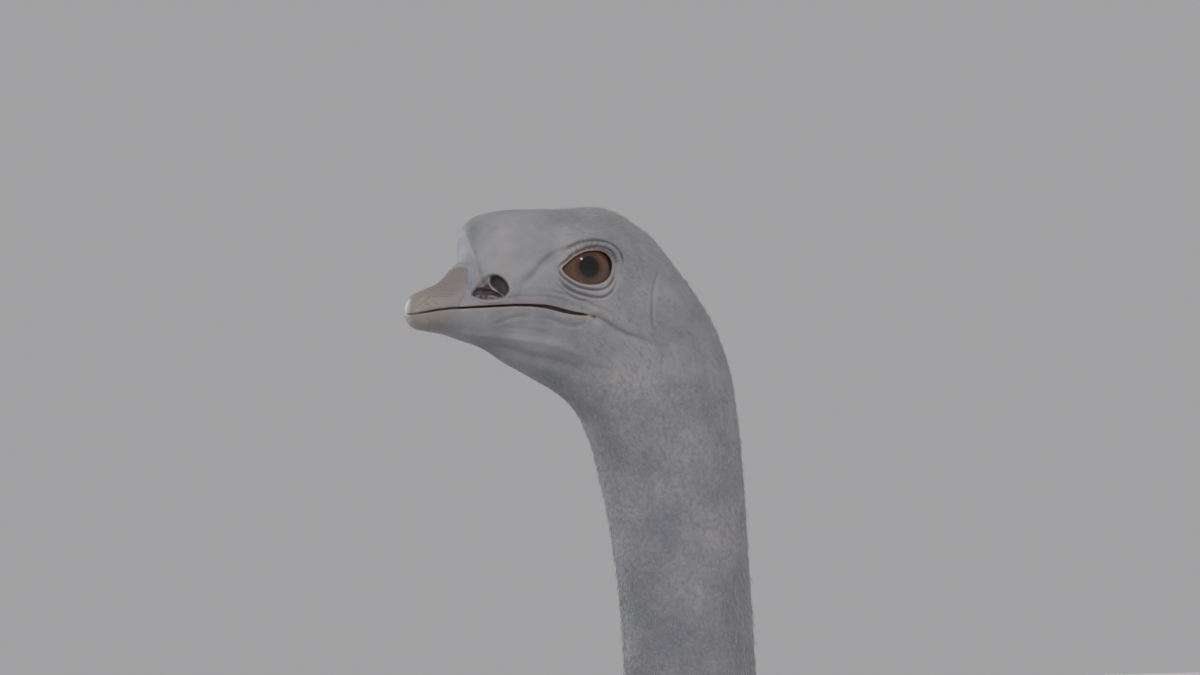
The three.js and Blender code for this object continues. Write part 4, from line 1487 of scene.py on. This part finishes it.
def flowTree():
    # Places over head and neck, with the way from bill to back there and the place on the map.
    t, turn = np.meshgrid(np.linspace(4.4, 32.4, 420), np.linspace(0, math.pi, 40), indexing="ij")
    along = (ringAt(headRows, t + 0.05, turn) - ringAt(headRows, t - 0.05, turn)).reshape(-1, 3)
    spots = np.column_stack([turn.ravel() / (2 * math.pi), t.ravel() / 34])
    return placeTree(ringAt(headRows, t, turn).reshape(-1, 3)), unit(along), spots


def skinSamples(mesh, low, high, count, density, chance):
    # Random places on the skin between two heights, in millimetres from the eye, with their normals.
    faces = len(mesh.polygons)
    centres, normals, areas = np.empty(faces * 3), np.empty(faces * 3), np.empty(faces)
    mesh.polygons.foreach_get("center", centres)
    mesh.polygons.foreach_get("normal", normals)
    mesh.polygons.foreach_get("area", areas)
    local = toLocal(centres.reshape(-1, 3))
    weight = areas * density(local) * ((local[:, 2] > low) & (local[:, 2] <= high))
    chosen = chance.choice(faces, count, p=weight / weight.sum())
    points = np.empty((count, 3))
    for i, face in enumerate(chosen):
        corners = [mesh.vertices[v].co for v in sorted(mesh.polygons[int(face)].vertices)]
        mix = chance.dirichlet(np.ones(len(corners)))
        points[i] = sum((np.array(c) * m for c, m in zip(corners, mix)), np.zeros(3))
    return toLocal(points), normals.reshape(-1, 3)[chosen] * [1, -1, 1]


def insideOutline(flat, outline, middle, grow):
    away = flat - np.array(middle, float)
    radius = radiusRound(outline, np.array(middle, float))(np.arctan2(away[:, 1], away[:, 0]))
    return np.hypot(away[:, 0], away[:, 1]) < radius + grow


def lipsAt(ahead):
    return np.interp(ahead, mouthLine[::-1, 0], mouthLine[::-1, 1])


def downDensity(local):
    flat = local[:, 1:]
    bare = insideOutline(flat, eyeOpening, (0, 0), 3.5) & (np.abs(local[:, 0]) > 15)
    bare |= insideOutline(flat, nostrilOpening, nostrilPatch["middle"], 2.5) & (np.abs(local[:, 0]) > 8)
    bare |= (np.abs(flat[:, 1] - lipsAt(flat[:, 0])) < 3) & (flat[:, 0] > -8)
    bare |= flat[:, 0] > 76
    face = smoothStep(10, 45, flat[:, 0])
    lid = 1 - 0.75 * insideOutline(flat, eyeOpening, (0, 0), 9)
    crown = 1 + 0.9 * smoothStep(28, 44, flat[:, 1])
    return np.where(bare, 0, (1 - 0.62 * face) * lid * crown)


def buildDown(skin):
    chance = np.random.default_rng(17)
    tree, along, spots = flowTree()
    for name, (low, high, count, look) in down.items():
        roots, normals = skinSamples(skin.data, low, high, count, downDensity, chance)
        mirror = np.column_stack([np.abs(roots[:, 0]), roots[:, 1], roots[:, 2]])
        nearest = np.array([tree.find(p)[1] for p in mirror])
        side = np.sign(roots[:, 0])
        flows = along[nearest] * np.column_stack([side, np.ones(count), np.ones(count)])
        places = np.column_stack([0.5 + side * spots[nearest, 0], spots[nearest, 1]])
        height = roots[:, 2]
        face = smoothStep(-20, 60, roots[:, 1]) * (height > -125)
        onNeck = 6 + 6 * smoothStep(-150, -500, height) + 14 * smoothStep(-760, -900, height)
        lengths = np.where(height > -125, 5.2 - 3.0 * face, onNeck) * chance.uniform(0.6, 1.25, count)
        thick = 0.2 + 0.022 * lengths - 0.06 * face
        hairs = roots, normals, flows, places, lengths, thick
        hairPiece("down_" + name, *hairs, look, "white_plumage", chance)


lashes = {
    "count": 34, "length": (6.5, 10), "thick": 0.55, "outside": 0.7, "first": 12, "spread": 156,
    "look": {"rings": 5, "lift": 62, "mess": 7, "bend": 0.75},
}


def buildLashes():
    chance = np.random.default_rng(19)
    radiusAt = radiusRound(eyeOpening, np.zeros(2))
    shortest, longest = lashes["length"]
    outside = lashes["outside"]
    roots, normals, flows, lengths = [], [], [], []
    for side in (1, -1):
        for k in range(lashes["count"]):
            share = lashes["spread"] * (k + 0.5) / lashes["count"]
            direction = math.radians(lashes["first"] + share + chance.uniform(-1.5, 1.5))
            edge = float(radiusAt(np.array([direction]))[0])
            heading = np.array([math.cos(direction), math.sin(direction)])
            place, normal = lidPlace(heading * (edge + outside), outside, direction, edge)
            roots.append(place * [side, 1, 1])
            normals.append(normal * [side, 1, 1])
            flows.append([0, heading[0] * 0.8 - 0.35, heading[1]])
            lengths.append(shortest + (longest - shortest) * math.sin(direction) ** 2)
    roots, normals, flows, lengths = (np.array(part) for part in (roots, normals, flows, lengths))
    count = len(roots)
    places = np.column_stack([0.5 + 0.2 * np.sign(roots[:, 0]), 0.2 + 0.003 * np.arange(count)])
    lengths = lengths * chance.uniform(0.85, 1.1, count)
    thick = np.full(count, lashes["thick"])
    hairs = roots, unit(normals), unit(flows), places, lengths, thick
    hairPiece("lashes", *hairs, lashes["look"], "black_plumage", chance)


# Scales of the legs: broad plates down the front of the shank and over the toes, small ones elsewhere.
plates = {
    "thick": 1.5,
    # The profile of one plate down the leg and across it: where, and how high it stands.
    "down": (0, 0.05, 0.25, 0.55, 0.85, 0.97, 1.0), "rise": (-0.9, 0.35, 0.75, 0.95, 1.1, 0.95, -0.5),
    "across": (-1, -0.97, -0.8, -0.4, 0, 0.4, 0.8, 0.97, 1),
    "fall": (-0.6, 0.5, 0.85, 1, 1, 1, 0.85, 0.5, -0.6),
}
beads = {"high": 0.9, "rings": ((0.62, 0.75), (0.98, -0.35))}
# For each limb: its plates (from, to, half width as a turn, height of one) and its small scales
# (from, to, how far round they start, size), which keep clear of the other limbs and the floor.
scaleFields = (
    (legRows, tendons, (7.3, 12.45, 0.82, 13), (5.6, 12.6, 0.82 * 1.02, 6.2)),
    (bigToeRows, toePads, (2.45, 6.6, 0.95, 9.5), (0.4, 7.2, 0.9, 6.2 * 0.95)),
    (smallToeRows, toePads, (1.35, 4.8, 0.95, 7.5), (0.3, 5.4, 0.9, 6.2 * 0.8)),
)


def keptBeads(rows, places, stride):
    ahead, up = places[:, 1] - stride, places[:, 2]
    if rows is legRows:
        return up > 62
    if rows is bigToeRows:
        return (up > 5) & ((up < 66) | (ahead > 6))
    return (up > 5) & (ahead > -62)


def limbSurface(limb, t, turn):
    rows, carve, side, stride = limb
    t = np.clip(t, 0, len(rows) - 1.001)
    at = rowAt(rows, t.ravel())
    points = ringPoints(at, turn.reshape(-1, 1))[:, 0].reshape(*t.shape, 3)
    points[..., 0] += at[:, 8].reshape(t.shape)
    away = unit(points - ringMiddles(at, at[:, 8], t.shape))
    points -= away * carve(t, np.mod(turn, 2 * math.pi))[..., None]
    points[..., 0] *= side
    points[..., 1] += stride
    return points


def limbWays(limb, t, turn):
    # The ways down the limb and straight out from it.
    along = limbSurface(limb, t + 0.02, turn) - limbSurface(limb, t - 0.02, turn)
    across = limbSurface(limb, t, turn + 0.02) - limbSurface(limb, t, turn - 0.02)
    return unit(along), unit(np.cross(along, across)) * limb[2]


def lengthAlong(rows, carve, turn, low, high):
    t = np.linspace(low, high, 300)
    return t, runLength(limbSurface((rows, carve, 1, 0), t, np.full(300, turn)))


def plateSet(limb, low, high, half, tall):
    t, length = lengthAlong(*limb[:2], 0.0, low, high)
    count = int(length[-1] / tall)
    edges = np.interp(np.linspace(0, length[-1], count + 1), length, t)
    p, q = np.meshgrid(plates["down"], plates["across"], indexing="ij")
    rise, fall = np.array(plates["rise"])[:, None], np.array(plates["fall"])[None]
    height = np.where((rise < 0) | (fall < 0), -0.8, rise * fall) * plates["thick"]
    bow = 0.12 * (1 - q**2)  # the lower edge bows down
    points = []
    for k in range(count):
        s = edges[k] + (edges[k + 1] - edges[k]) * (p * 0.97 + bow * p)
        turn = q * (half * (1 - 0.1 * (k % 2)))
        points.append(limbSurface(limb, s, turn) + limbWays(limb, s, turn)[1] * height[..., None])
    grid = np.arange(p.size).reshape(p.shape)
    quads = np.stack([grid[:-1, :-1], grid[:-1, 1:], grid[1:, 1:], grid[1:, :-1]], axis=-1).reshape(-1, 4)
    spots = np.column_stack([0.5 + q.ravel() * 0.0014, (p.ravel() - 0.5) * 0.0028])
    base = np.column_stack([np.zeros(count), 0.05 + 0.9 * edges[:-1] / len(limb[0])])
    return np.array(points).reshape(count, -1, 3), quads, np.empty((0, 3), int), spots + base[:, None]


def beadSet(limb, low, high, half, size):
    rows, carve, _, stride = limb
    t, length = lengthAlong(rows, carve, math.pi / 2, low, high)
    lines = int(length[-1] / (size * 0.87))
    turns = np.linspace(half, 2 * math.pi - half, 80)
    found = []
    for i, station in enumerate(np.interp((np.arange(lines) + 0.5) / lines * length[-1], length, t)):
        run = runLength(limbSurface((rows, carve, 1, 0), np.full(80, station), turns))
        count = max(4, int(run[-1] / size))
        spots = staggered(i, count) * run[-1]
        found += [(station, turn) for turn in np.interp(spots, run, turns)]
    found = np.array(found)
    found = found[keptBeads(rows, limbSurface(limb, *found.T), stride)]
    centre = limbSurface(limb, *found.T)
    along, normal = limbWays(limb, *found.T)
    across = unit(np.cross(normal, along))
    chance = np.random.default_rng(23)
    grow = size / 2 * chance.uniform(0.88, 1.02, len(centre))[:, None]
    points = [centre + normal * beads["high"]]
    places = [np.zeros((len(centre), 2))]
    for share, high in beads["rings"]:
        for turn in np.arange(6) * math.pi / 3:
            away = across * math.cos(turn) + along * math.sin(turn)
            points.append(centre + away * grow * share * 1.12 + normal * high * beads["high"])
            spot = [math.cos(turn) * share * 0.0014, math.sin(turn) * share * 0.0014]
            places.append(np.tile(spot, (len(centre), 1)))
    ring = np.arange(6)
    after = (ring + 1) % 6
    triangles = np.stack([np.zeros(6, int), 1 + ring, 1 + after], axis=1)
    quads = np.stack([1 + ring, 7 + ring, 7 + after, 1 + after], axis=1)
    base = np.column_stack([found[:, 1] / (2 * math.pi), 0.02 + 0.96 * found[:, 0] / len(rows)])
    return np.stack(points, axis=1), quads, triangles, np.stack(places, axis=1) + base[:, None]


def scalePiece(name, groups, side, chance):
    points, quads, triangles, places, tones, start = [], [], [], [], [], 0
    for spots, flats, tips, onMap in groups:
        count, each = spots.shape[:2]
        quads.append(eachCopy(flats[:, ::side], count, each, start))
        triangles.append(eachCopy(tips[:, ::side], count, each, start))
        points.append(spots.reshape(-1, 3))
        places.append(onMap.reshape(-1, 2))
        tones.append(np.repeat(chance.uniform(0, 1, count), each))
        start += count * each
    points, quads, triangles, places, tones = (
        np.concatenate(part) for part in (points, quads, triangles, places, tones)
    )
    points = fromFloor(points)
    points[:, 2] = np.maximum(points[:, 2], 0.0003)
    coatPiece(name, points, quads, triangles, places, tones, "scale")


def buildScales():
    for name, (side, stride) in strides.items():
        chance = np.random.default_rng(29)
        limbs = [((rows, carve, side, stride), plate, bead) for rows, carve, plate, bead in scaleFields]
        scalePiece("scutes_" + name, [plateSet(limb, *plate) for limb, plate, bead in limbs], side, chance)
        scalePiece("beads_" + name, [beadSet(limb, *bead) for limb, plate, bead in limbs], side, chance)


# What is marked on the skin: painted shade in the creases, the nostrils, the mouth and at the lid edges,
# painted shade on the skin under the plumage, the flush of lids and lips, and the pebbled throat.
def markSkin(skin):
    mesh = skin.data
    world = np.empty(len(mesh.vertices) * 3)
    mesh.vertices.foreach_get("co", world)
    world = world.reshape(-1, 3)
    local = toLocal(world)
    flat, out = local[:, 1:], np.abs(local[:, 0])
    marks = np.zeros((len(local), 4), np.float32)
    head = local[:, 2] > -135
    plain = local.copy()
    lids = (np.hypot(flat[:, 0], flat[:, 1]) < 34) & (out > 12)
    plain[lids] = [sidePoint(*spot) for spot in flat[lids]]
    # Painted shade in the sharp creases, darker the deeper the crease.
    marks[head, 0] = np.clip(0.5 + 0.3 * foldDepth(plain[head], creaseReady), 0, 1)
    marks[~head, 0] = 0.5
    # Painted shade on the skin of the trunk under its plumage, so that gaps between the plumes look dark.
    marks[:, 1] = smoothStep(0.87, 0.93, world[:, 2]) * (1 - smoothStep(1.39, 1.435, world[:, 2]))
    direction = np.arctan2(flat[:, 1], flat[:, 0])
    lidGap = np.hypot(flat[:, 0], flat[:, 1]) - radiusRound(eyeOpening, np.zeros(2))(direction)
    flush = (1 - smoothStep(0.4, 2.8, lidGap)) * (out > 12)
    lipGap = np.abs(flat[:, 1] - lipsAt(flat[:, 0]))
    flush = np.maximum(flush, (1 - smoothStep(0.6, 4.0, lipGap)) * smoothStep(-16, 0, flat[:, 0]) * 0.8)
    inNose = insideOutline(flat, nostrilOpening, nostrilPatch["middle"], 0.2) & (out > 5)
    nearNose = insideOutline(flat, nostrilOpening, nostrilPatch["middle"], 2.5) & (out > 5)
    # Painted shade in the nostril, darker the deeper the skin sinks.
    for i in np.flatnonzero(nearNose):
        sunk = sidePoint(*flat[i])[0] - out[i]
        if inNose[i] or sunk > 1:
            marks[i, 0] = np.clip(0.5 + 0.2 * max(0, sunk - 1.2), 0, 1)
            flush[i] = max(flush[i], 0.35)
    # Painted shade inside the mouth and where the lids meet the eye; at the lids it is also their own dark
    # margin.
    for i in np.flatnonzero((lipGap < 3) & (flat[:, 0] > -8) & (flat[:, 0] < 100)):
        inside = smoothStep(0.3, 1.6, sidePoint(*flat[i])[0] - out[i])
        marks[i, 0] = max(marks[i, 0], 0.5 + 0.5 * inside)
        flush[i] *= 1 - inside
    lidEdge = (lidGap < 0.05) & (out > 20)
    marks[lidEdge, 0] = 1
    flush[lidEdge] = 0
    marks[:, 2] = flush * (local[:, 2] > -70)
    marks[:, 3] = smoothStep(-55, -100, local[:, 2]) * (1 - smoothStep(-640, -800, local[:, 2]))
    layer = mesh.attributes.new("marking", "FLOAT_COLOR", "POINT")
    layer.data.foreach_set("color", marks.ravel())


# Materials.
def give(tree, socket, value):
    if isinstance(value, bpy.types.NodeSocket):
        tree.links.new(value, socket)
    else:
        socket.default_value = value


def nodeIn(tree, kind, inputs=None, **settings):
    node = tree.nodes.new("ShaderNode" + kind)
    for key, value in settings.items():
        setattr(node, key, value)
    for key, value in (inputs or {}).items():
        give(tree, node.inputs[key], value)
    return node


def newMaterial(name, sockets):
    material = bpy.data.materials.new(name)
    material.use_nodes = True
    shader = material.node_tree.nodes["Principled BSDF"]
    for key, value in sockets.items():
        shader.inputs[key].default_value = value
    return material, material.node_tree, shader


def ramp(tree, factor, stops):
    node = tree.nodes.new("ShaderNodeValToRGB")
    while len(node.color_ramp.elements) < len(stops):
        node.color_ramp.elements.new(0.5)
    for element, (place, colour) in zip(node.color_ramp.elements, stops):
        element.position = place
        element.color = (*colour, 1)
    tree.links.new(factor, node.inputs["Fac"])
    return node.outputs["Color"]


def mixColour(tree, factor, a, b, blend="MIX"):
    node = nodeIn(tree, "Mix", data_type="RGBA", blend_type=blend)
    for index, value in ((0, factor), (6, a), (7, b)):
        give(tree, node.inputs[index], (*value, 1) if isinstance(value, tuple) else value)
    return node.outputs[2]


def maths(tree, operation, a, b=0.5, clamp=False):
    return nodeIn(tree, "Math", {0: a, 1: b}, operation=operation, use_clamp=clamp).outputs[0]


def vectors(tree, operation, inputs):
    return nodeIn(tree, "VectorMath", inputs, operation=operation).outputs


def times(tree, a, b):
    return maths(tree, "MULTIPLY", a, b)


def noise(tree, place, scale, detail, rough=0.5):
    inputs = {"Vector": place, "Scale": scale, "Detail": detail, "Roughness": rough}
    return nodeIn(tree, "TexNoise", inputs).outputs["Fac"]


def spread(tree, value, low, high, toLow=0.0, toHigh=1.0):
    inputs = {"Value": value, "From Min": low, "From Max": high, "To Min": toLow, "To Max": toHigh}
    return nodeIn(tree, "MapRange", inputs).outputs["Result"]


def coordinates(tree):
    return nodeIn(tree, "TexCoord").outputs["Object"]


def paint(tree, shader, colour):
    tree.links.new(colour, shader.inputs["Base Color"])


def bumped(tree, shader, height, strength, distance):
    bump = nodeIn(tree, "Bump", {"Height": height, "Strength": strength, "Distance": distance})
    tree.links.new(bump.outputs["Normal"], shader.inputs["Normal"])


def newGroup(name, inputs, outputs):
    group = bpy.data.node_groups.new(name, "ShaderNodeTree")
    for way, sockets in (("INPUT", inputs), ("OUTPUT", outputs)):
        for title, kind in sockets.items():
            group.interface.new_socket(name=title, in_out=way, socket_type="NodeSocket" + kind)
    given, wanted = group.nodes.new("NodeGroupInput"), group.nodes.new("NodeGroupOutput")
    return group, given.outputs, wanted.inputs


def pebbleGroup():
    # Rounded bumps with fine wrinkles between them, as a height and a mask of the gaps.
    inputs = {"Vector": "Vector", "Pebbles": "Float", "Pores": "Float"}
    group, given, wanted = newGroup("pebbledSkin", inputs, {"Height": "Float", "Gaps": "Float"})
    warp = nodeIn(group, "TexNoise", {"Vector": given["Vector"], "Scale": 120.0, "Detail": 2.0})
    bent = vectors(group, "SUBTRACT", {0: warp.outputs["Color"], 1: (0.5, 0.5, 0.5)})[0]
    small = vectors(group, "SCALE", {0: bent, "Scale": 0.003})[0]
    place = vectors(group, "ADD", {0: given["Vector"], 1: small})[0]
    inputs = {"Vector": place, "Scale": given["Pebbles"], "Smoothness": 0.35}
    cell = nodeIn(group, "TexVoronoi", inputs, feature="SMOOTH_F1").outputs["Distance"]
    inputs = {"Vector": place, "Scale": given["Pores"]}
    pore = nodeIn(group, "TexVoronoi", inputs, feature="F1").outputs["Distance"]
    grain = noise(group, given["Vector"], given["Pores"], 3.0)
    dome = maths(group, "SUBTRACT", 1.0, cell, clamp=True)
    fine = maths(group, "SUBTRACT", dome, times(group, pore, 0.22))
    group.links.new(maths(group, "ADD", fine, times(group, grain, 0.25)), wanted["Height"])
    group.links.new(spread(group, cell, 0.45, 0.8), wanted["Gaps"])
    return group


def placeGroup(tree, group, inputs):
    return nodeIn(tree, "Group", inputs, node_tree=group).outputs


# Colours of the bare skin. The shaded, crease and gaps colours are painted shade: under the plumage, in
# creases and hollows, and between the pebbles of the throat.
skinLook = {
    "pale": (0.25, 0.242, 0.245), "deep": (0.145, 0.15, 0.167), "legs": (0.27, 0.235, 0.21),
    "flush": (0.31, 0.205, 0.19), "shaded": (0.022, 0.02, 0.02), "creaseShade": (0.06, 0.05, 0.052),
    "worn": (0.42, 0.39, 0.38), "gapShade": (0.13, 0.12, 0.125),
}


def skinMaterial(pebbles):
    material, tree, shader = newMaterial("bareSkin", {
        "Roughness": 0.5, "Subsurface Weight": 0.12, "Subsurface Radius": (0.004, 0.0018, 0.0012),
        "Subsurface Scale": 1.0,
    })
    place = coordinates(tree)
    marks = nodeIn(tree, "Attribute", attribute_name="marking")
    creaseShade, plumageShade, flush = nodeIn(tree, "SeparateColor", {"Color": marks.outputs["Color"]}).outputs[:3]
    throat = marks.outputs["Alpha"]
    mottle = noise(tree, place, 34.0, 6.0, 0.62)
    patches = noise(tree, place, 9.0, 3.0)
    cloud = maths(tree, "ADD", times(tree, mottle, 0.65), times(tree, patches, 0.35))
    base = ramp(tree, cloud, [(0.36, skinLook["deep"]), (0.64, skinLook["pale"])])
    height = nodeIn(tree, "SeparateXYZ", {0: place}).outputs["Z"]
    base = mixColour(tree, spread(tree, height, 0.72, 0.55), base, skinLook["legs"])
    base = mixColour(tree, times(tree, flush, 0.75), base, skinLook["flush"])
    # Painted shade in the creases, nostrils, mouth and lid edges; beside the creases the skin turns paler.
    base = mixColour(tree, spread(tree, creaseShade, 0.52, 0.95, 0.0, 0.85), base, skinLook["creaseShade"])
    base = mixColour(tree, spread(tree, creaseShade, 0.48, 0.15, 0.0, 0.3), base, skinLook["worn"])
    grain = placeGroup(tree, pebbles, {"Vector": place, "Pebbles": 330.0, "Pores": 1300.0})
    # Painted shade in the gaps between the pebbles of the throat.
    base = mixColour(tree, times(tree, grain["Gaps"], times(tree, throat, 0.45)), base, skinLook["gapShade"])
    # Painted shade over the skin under the plumage.
    base = mixColour(tree, plumageShade, base, skinLook["shaded"])
    paint(tree, shader, base)
    tree.links.new(spread(tree, mottle, 0.3, 0.7, 0.44, 0.6), shader.inputs["Roughness"])
    bumps = times(tree, grain["Height"], spread(tree, throat, 0.0, 1.0, 0.28, 1.0))
    bumped(tree, shader, bumps, 0.5, 0.0009)
    return material


hornLook = {
    "length": [(0.0, (0.165, 0.148, 0.143)), (0.55, (0.195, 0.168, 0.15)), (1.0, (0.26, 0.222, 0.185))],
    "streak": (0.14, 0.11, 0.1), "cloud": (0.21, 0.19, 0.183), "seam": (0.185, 0.182, 0.188),
    "from": 0.085, "to": 0.123,  # metres ahead of the eyes
    "seamAt": 0.0885, "seamLean": 0.17, "seamWide": 0.016, "low": (0.024, 0.034),
}


def hornMaterial(pebbles):
    material, tree, shader = newMaterial("billHorn", {"Roughness": 0.36, "Specular IOR Level": 0.55})
    look = hornLook
    place = coordinates(tree)
    streak = nodeIn(tree, "Mapping", {"Vector": place, "Scale": (1.0, 0.12, 1.0)}).outputs["Vector"]
    lines = noise(tree, streak, 420.0, 4.0, 0.6)
    cloud = noise(tree, place, 60.0, 4.0)
    parts = nodeIn(tree, "SeparateXYZ", {0: place}).outputs
    tip = spread(tree, parts["Y"], eyeMiddle.y - look["from"], eyeMiddle.y - look["to"])
    base = ramp(tree, tip, look["length"])
    base = mixColour(tree, times(tree, lines, 0.5), base, look["streak"])
    base = mixColour(tree, times(tree, cloud, 0.35), base, look["cloud"])
    across = vectors(tree, "DOT_PRODUCT", {0: place, 1: (0, 1, -look["seamLean"])})["Value"]
    edge = eyeMiddle.y - look["seamAt"] - look["seamLean"] * (eyeMiddle.z - 0.04)
    skinward = spread(tree, across, edge - look["seamWide"], edge)
    low = spread(tree, parts["Z"], eyeMiddle.z - look["low"][0], eyeMiddle.z - look["low"][1])
    base = mixColour(tree, times(tree, skinward, low), base, look["seam"])
    paint(tree, shader, base)
    tree.links.new(spread(tree, lines, 0.3, 0.7, 0.3, 0.46), shader.inputs["Roughness"])
    grain = placeGroup(tree, pebbles, {"Vector": streak, "Pebbles": 500.0, "Pores": 1500.0})
    bumped(tree, shader, maths(tree, "ADD", times(tree, grain["Height"], 0.25), lines), 0.35, 0.0004)
    return material


irisLook = [
    (0.0, (0.004, 0.0035, 0.003)), (0.33, (0.004, 0.0035, 0.003)), (0.37, (0.035, 0.016, 0.008)),
    (0.55, (0.085, 0.042, 0.02)), (0.78, (0.06, 0.03, 0.016)), (0.9, (0.012, 0.008, 0.006)),
    (1.0, (0.05, 0.04, 0.036)),
]  # from the middle of the pupil out to the white


def eyeMaterial():
    material, tree, shader = newMaterial("wetEye", {
        "Roughness": 0.12, "Coat Weight": 1.0, "Coat Roughness": 0.02, "Coat IOR": 1.38,
        "Specular IOR Level": 0.2,
    })
    parts = nodeIn(tree, "SeparateXYZ", {0: coordinates(tree)}).outputs
    y = maths(tree, "SUBTRACT", parts["Y"], eyeMiddle.y)
    z = maths(tree, "SUBTRACT", parts["Z"], eyeMiddle.z)
    flat = nodeIn(tree, "CombineXYZ", {0: y, 1: z}).outputs[0]
    radius = vectors(tree, "LENGTH", {0: flat})["Value"]
    angle = maths(tree, "ARCTAN2", z, y)
    spokes = nodeIn(tree, "CombineXYZ", {0: times(tree, angle, 6.0), 1: times(tree, radius, 160.0)})
    fibres = noise(tree, spokes.outputs[0], 3.2, 5.0, 0.65)
    light = spread(tree, fibres, 0.3, 0.75, 0.55, 1.5)
    iris = ramp(tree, maths(tree, "DIVIDE", radius, 0.0215), irisLook)
    shade = nodeIn(tree, "CombineColor", {0: light, 1: light, 2: light}).outputs[0]
    paint(tree, shader, mixColour(tree, 1.0, iris, shade, "MULTIPLY"))
    return material


featherLook = {
    "black_plumage": {
        "root": (0.01, 0.0095, 0.009), "tip": (0.024, 0.022, 0.0205),
        "worn": (0.045, 0.036, 0.028), "rough": 0.7,
    },
    "white_plumage": {
        "root": (0.48, 0.455, 0.42), "tip": (0.84, 0.82, 0.77),
        "worn": (0.7, 0.64, 0.56), "rough": 0.72,
    },
    "tail": {
        "root": (0.36, 0.31, 0.25), "tip": (0.76, 0.71, 0.62),
        "worn": (0.52, 0.42, 0.32), "rough": 0.72,
    },
    "down": {
        "root": (0.19, 0.185, 0.185), "tip": (0.37, 0.36, 0.345),
        "worn": (0.28, 0.26, 0.24), "rough": 0.8,
    },
    "lash": {
        "root": (0.008, 0.007, 0.007), "tip": (0.02, 0.016, 0.014),
        "worn": (0.03, 0.024, 0.02), "rough": 0.45,
    },
}


def featherGroup():
    inputs = {"Vector": "Vector", "Tone": "Float", "Root": "Color", "Tip": "Color", "Worn": "Color"}
    group, given, wanted = newGroup("featherTone", inputs, {"Color": "Color"})
    cloud = noise(group, given["Vector"], 14.0, 4.0)
    base = mixColour(group, spread(group, given["Tone"], 0.05, 0.75), given["Root"], given["Tip"])
    wear = spread(group, cloud, 0.48, 0.7, 0.0, 0.7)
    amount = times(group, wear, spread(group, given["Tone"], 0.45, 1.0))
    group.links.new(mixColour(group, amount, base, given["Worn"]), wanted["Color"])
    return group


def featherMaterial(name, look, group):
    material, tree, shader = newMaterial(name, {
        "Roughness": look["rough"], "Specular IOR Level": 0.2, "Sheen Weight": 0.25, "Sheen Roughness": 0.6,
    })
    tone = nodeIn(tree, "Attribute", attribute_name="tone").outputs["Fac"]
    inputs = {"Vector": coordinates(tree), "Tone": tone}
    for part in ("Root", "Tip", "Worn"):
        inputs[part] = (*look[part.lower()], 1)
    paint(tree, shader, placeGroup(tree, group, inputs)["Color"])
    return material


# From the darkest scale or streak to the palest.
scaleLook = [(0.2, (0.19, 0.16, 0.145)), (0.5, (0.32, 0.28, 0.25)), (0.8, (0.44, 0.39, 0.34))]
clawLook = [(0.3, (0.05, 0.038, 0.03)), (0.6, (0.14, 0.11, 0.085)), (0.8, (0.24, 0.2, 0.15))]


def scaleMaterial(pebbles):
    material, tree, shader = newMaterial("legScale", {"Roughness": 0.45})
    place = coordinates(tree)
    tone = nodeIn(tree, "Attribute", attribute_name="tone").outputs["Fac"]
    cloud = noise(tree, place, 45.0, 5.0)
    mixed = maths(tree, "ADD", times(tree, tone, 0.45), times(tree, cloud, 0.55))
    paint(tree, shader, ramp(tree, mixed, scaleLook))
    grain = placeGroup(tree, pebbles, {"Vector": place, "Pebbles": 420.0, "Pores": 1200.0})
    bumped(tree, shader, grain["Height"], 0.25, 0.0004)
    return material


def clawMaterial():
    material, tree, shader = newMaterial("clawHorn", {"Roughness": 0.35})
    streak = nodeIn(tree, "Mapping", {"Vector": coordinates(tree), "Scale": (1.0, 0.1, 0.6)})
    lines = noise(tree, streak.outputs["Vector"], 260.0, 5.0)
    paint(tree, shader, ramp(tree, lines, clawLook))
    bumped(tree, shader, lines, 0.4, 0.0006)
    return material


def dressPieces():
    pebbles, feathers = pebbleGroup(), featherGroup()
    made = {
        "skin": skinMaterial(pebbles), "horn": hornMaterial(pebbles), "eye": eyeMaterial(),
        "scale": scaleMaterial(pebbles), "claw": clawMaterial(),
    }
    for name, look in featherLook.items():
        made[name] = featherMaterial(name.replace("_p", "P") + "Vane", look, feathers)
    special = {"quills_tail": "tail", "down_head": "down", "down_neck": "down", "lashes": "lash"}
    for piece in scene.objects:
        if piece.type == "MESH" and piece.get("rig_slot") and not piece.hide_render:
            piece.data.materials.clear()
            piece.data.materials.append(made[special.get(piece.name, piece["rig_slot"])])
    print("materials: on every piece")


makeCamera()
makeStudio()
skin = buildSkin()
markSkin(skin)
buildBill()
buildEyes()
buildLashes()
buildDown(skin)
buildClaws()
buildScales()
buildBodyPlumes()
buildWings()
buildTail()
dressPieces()
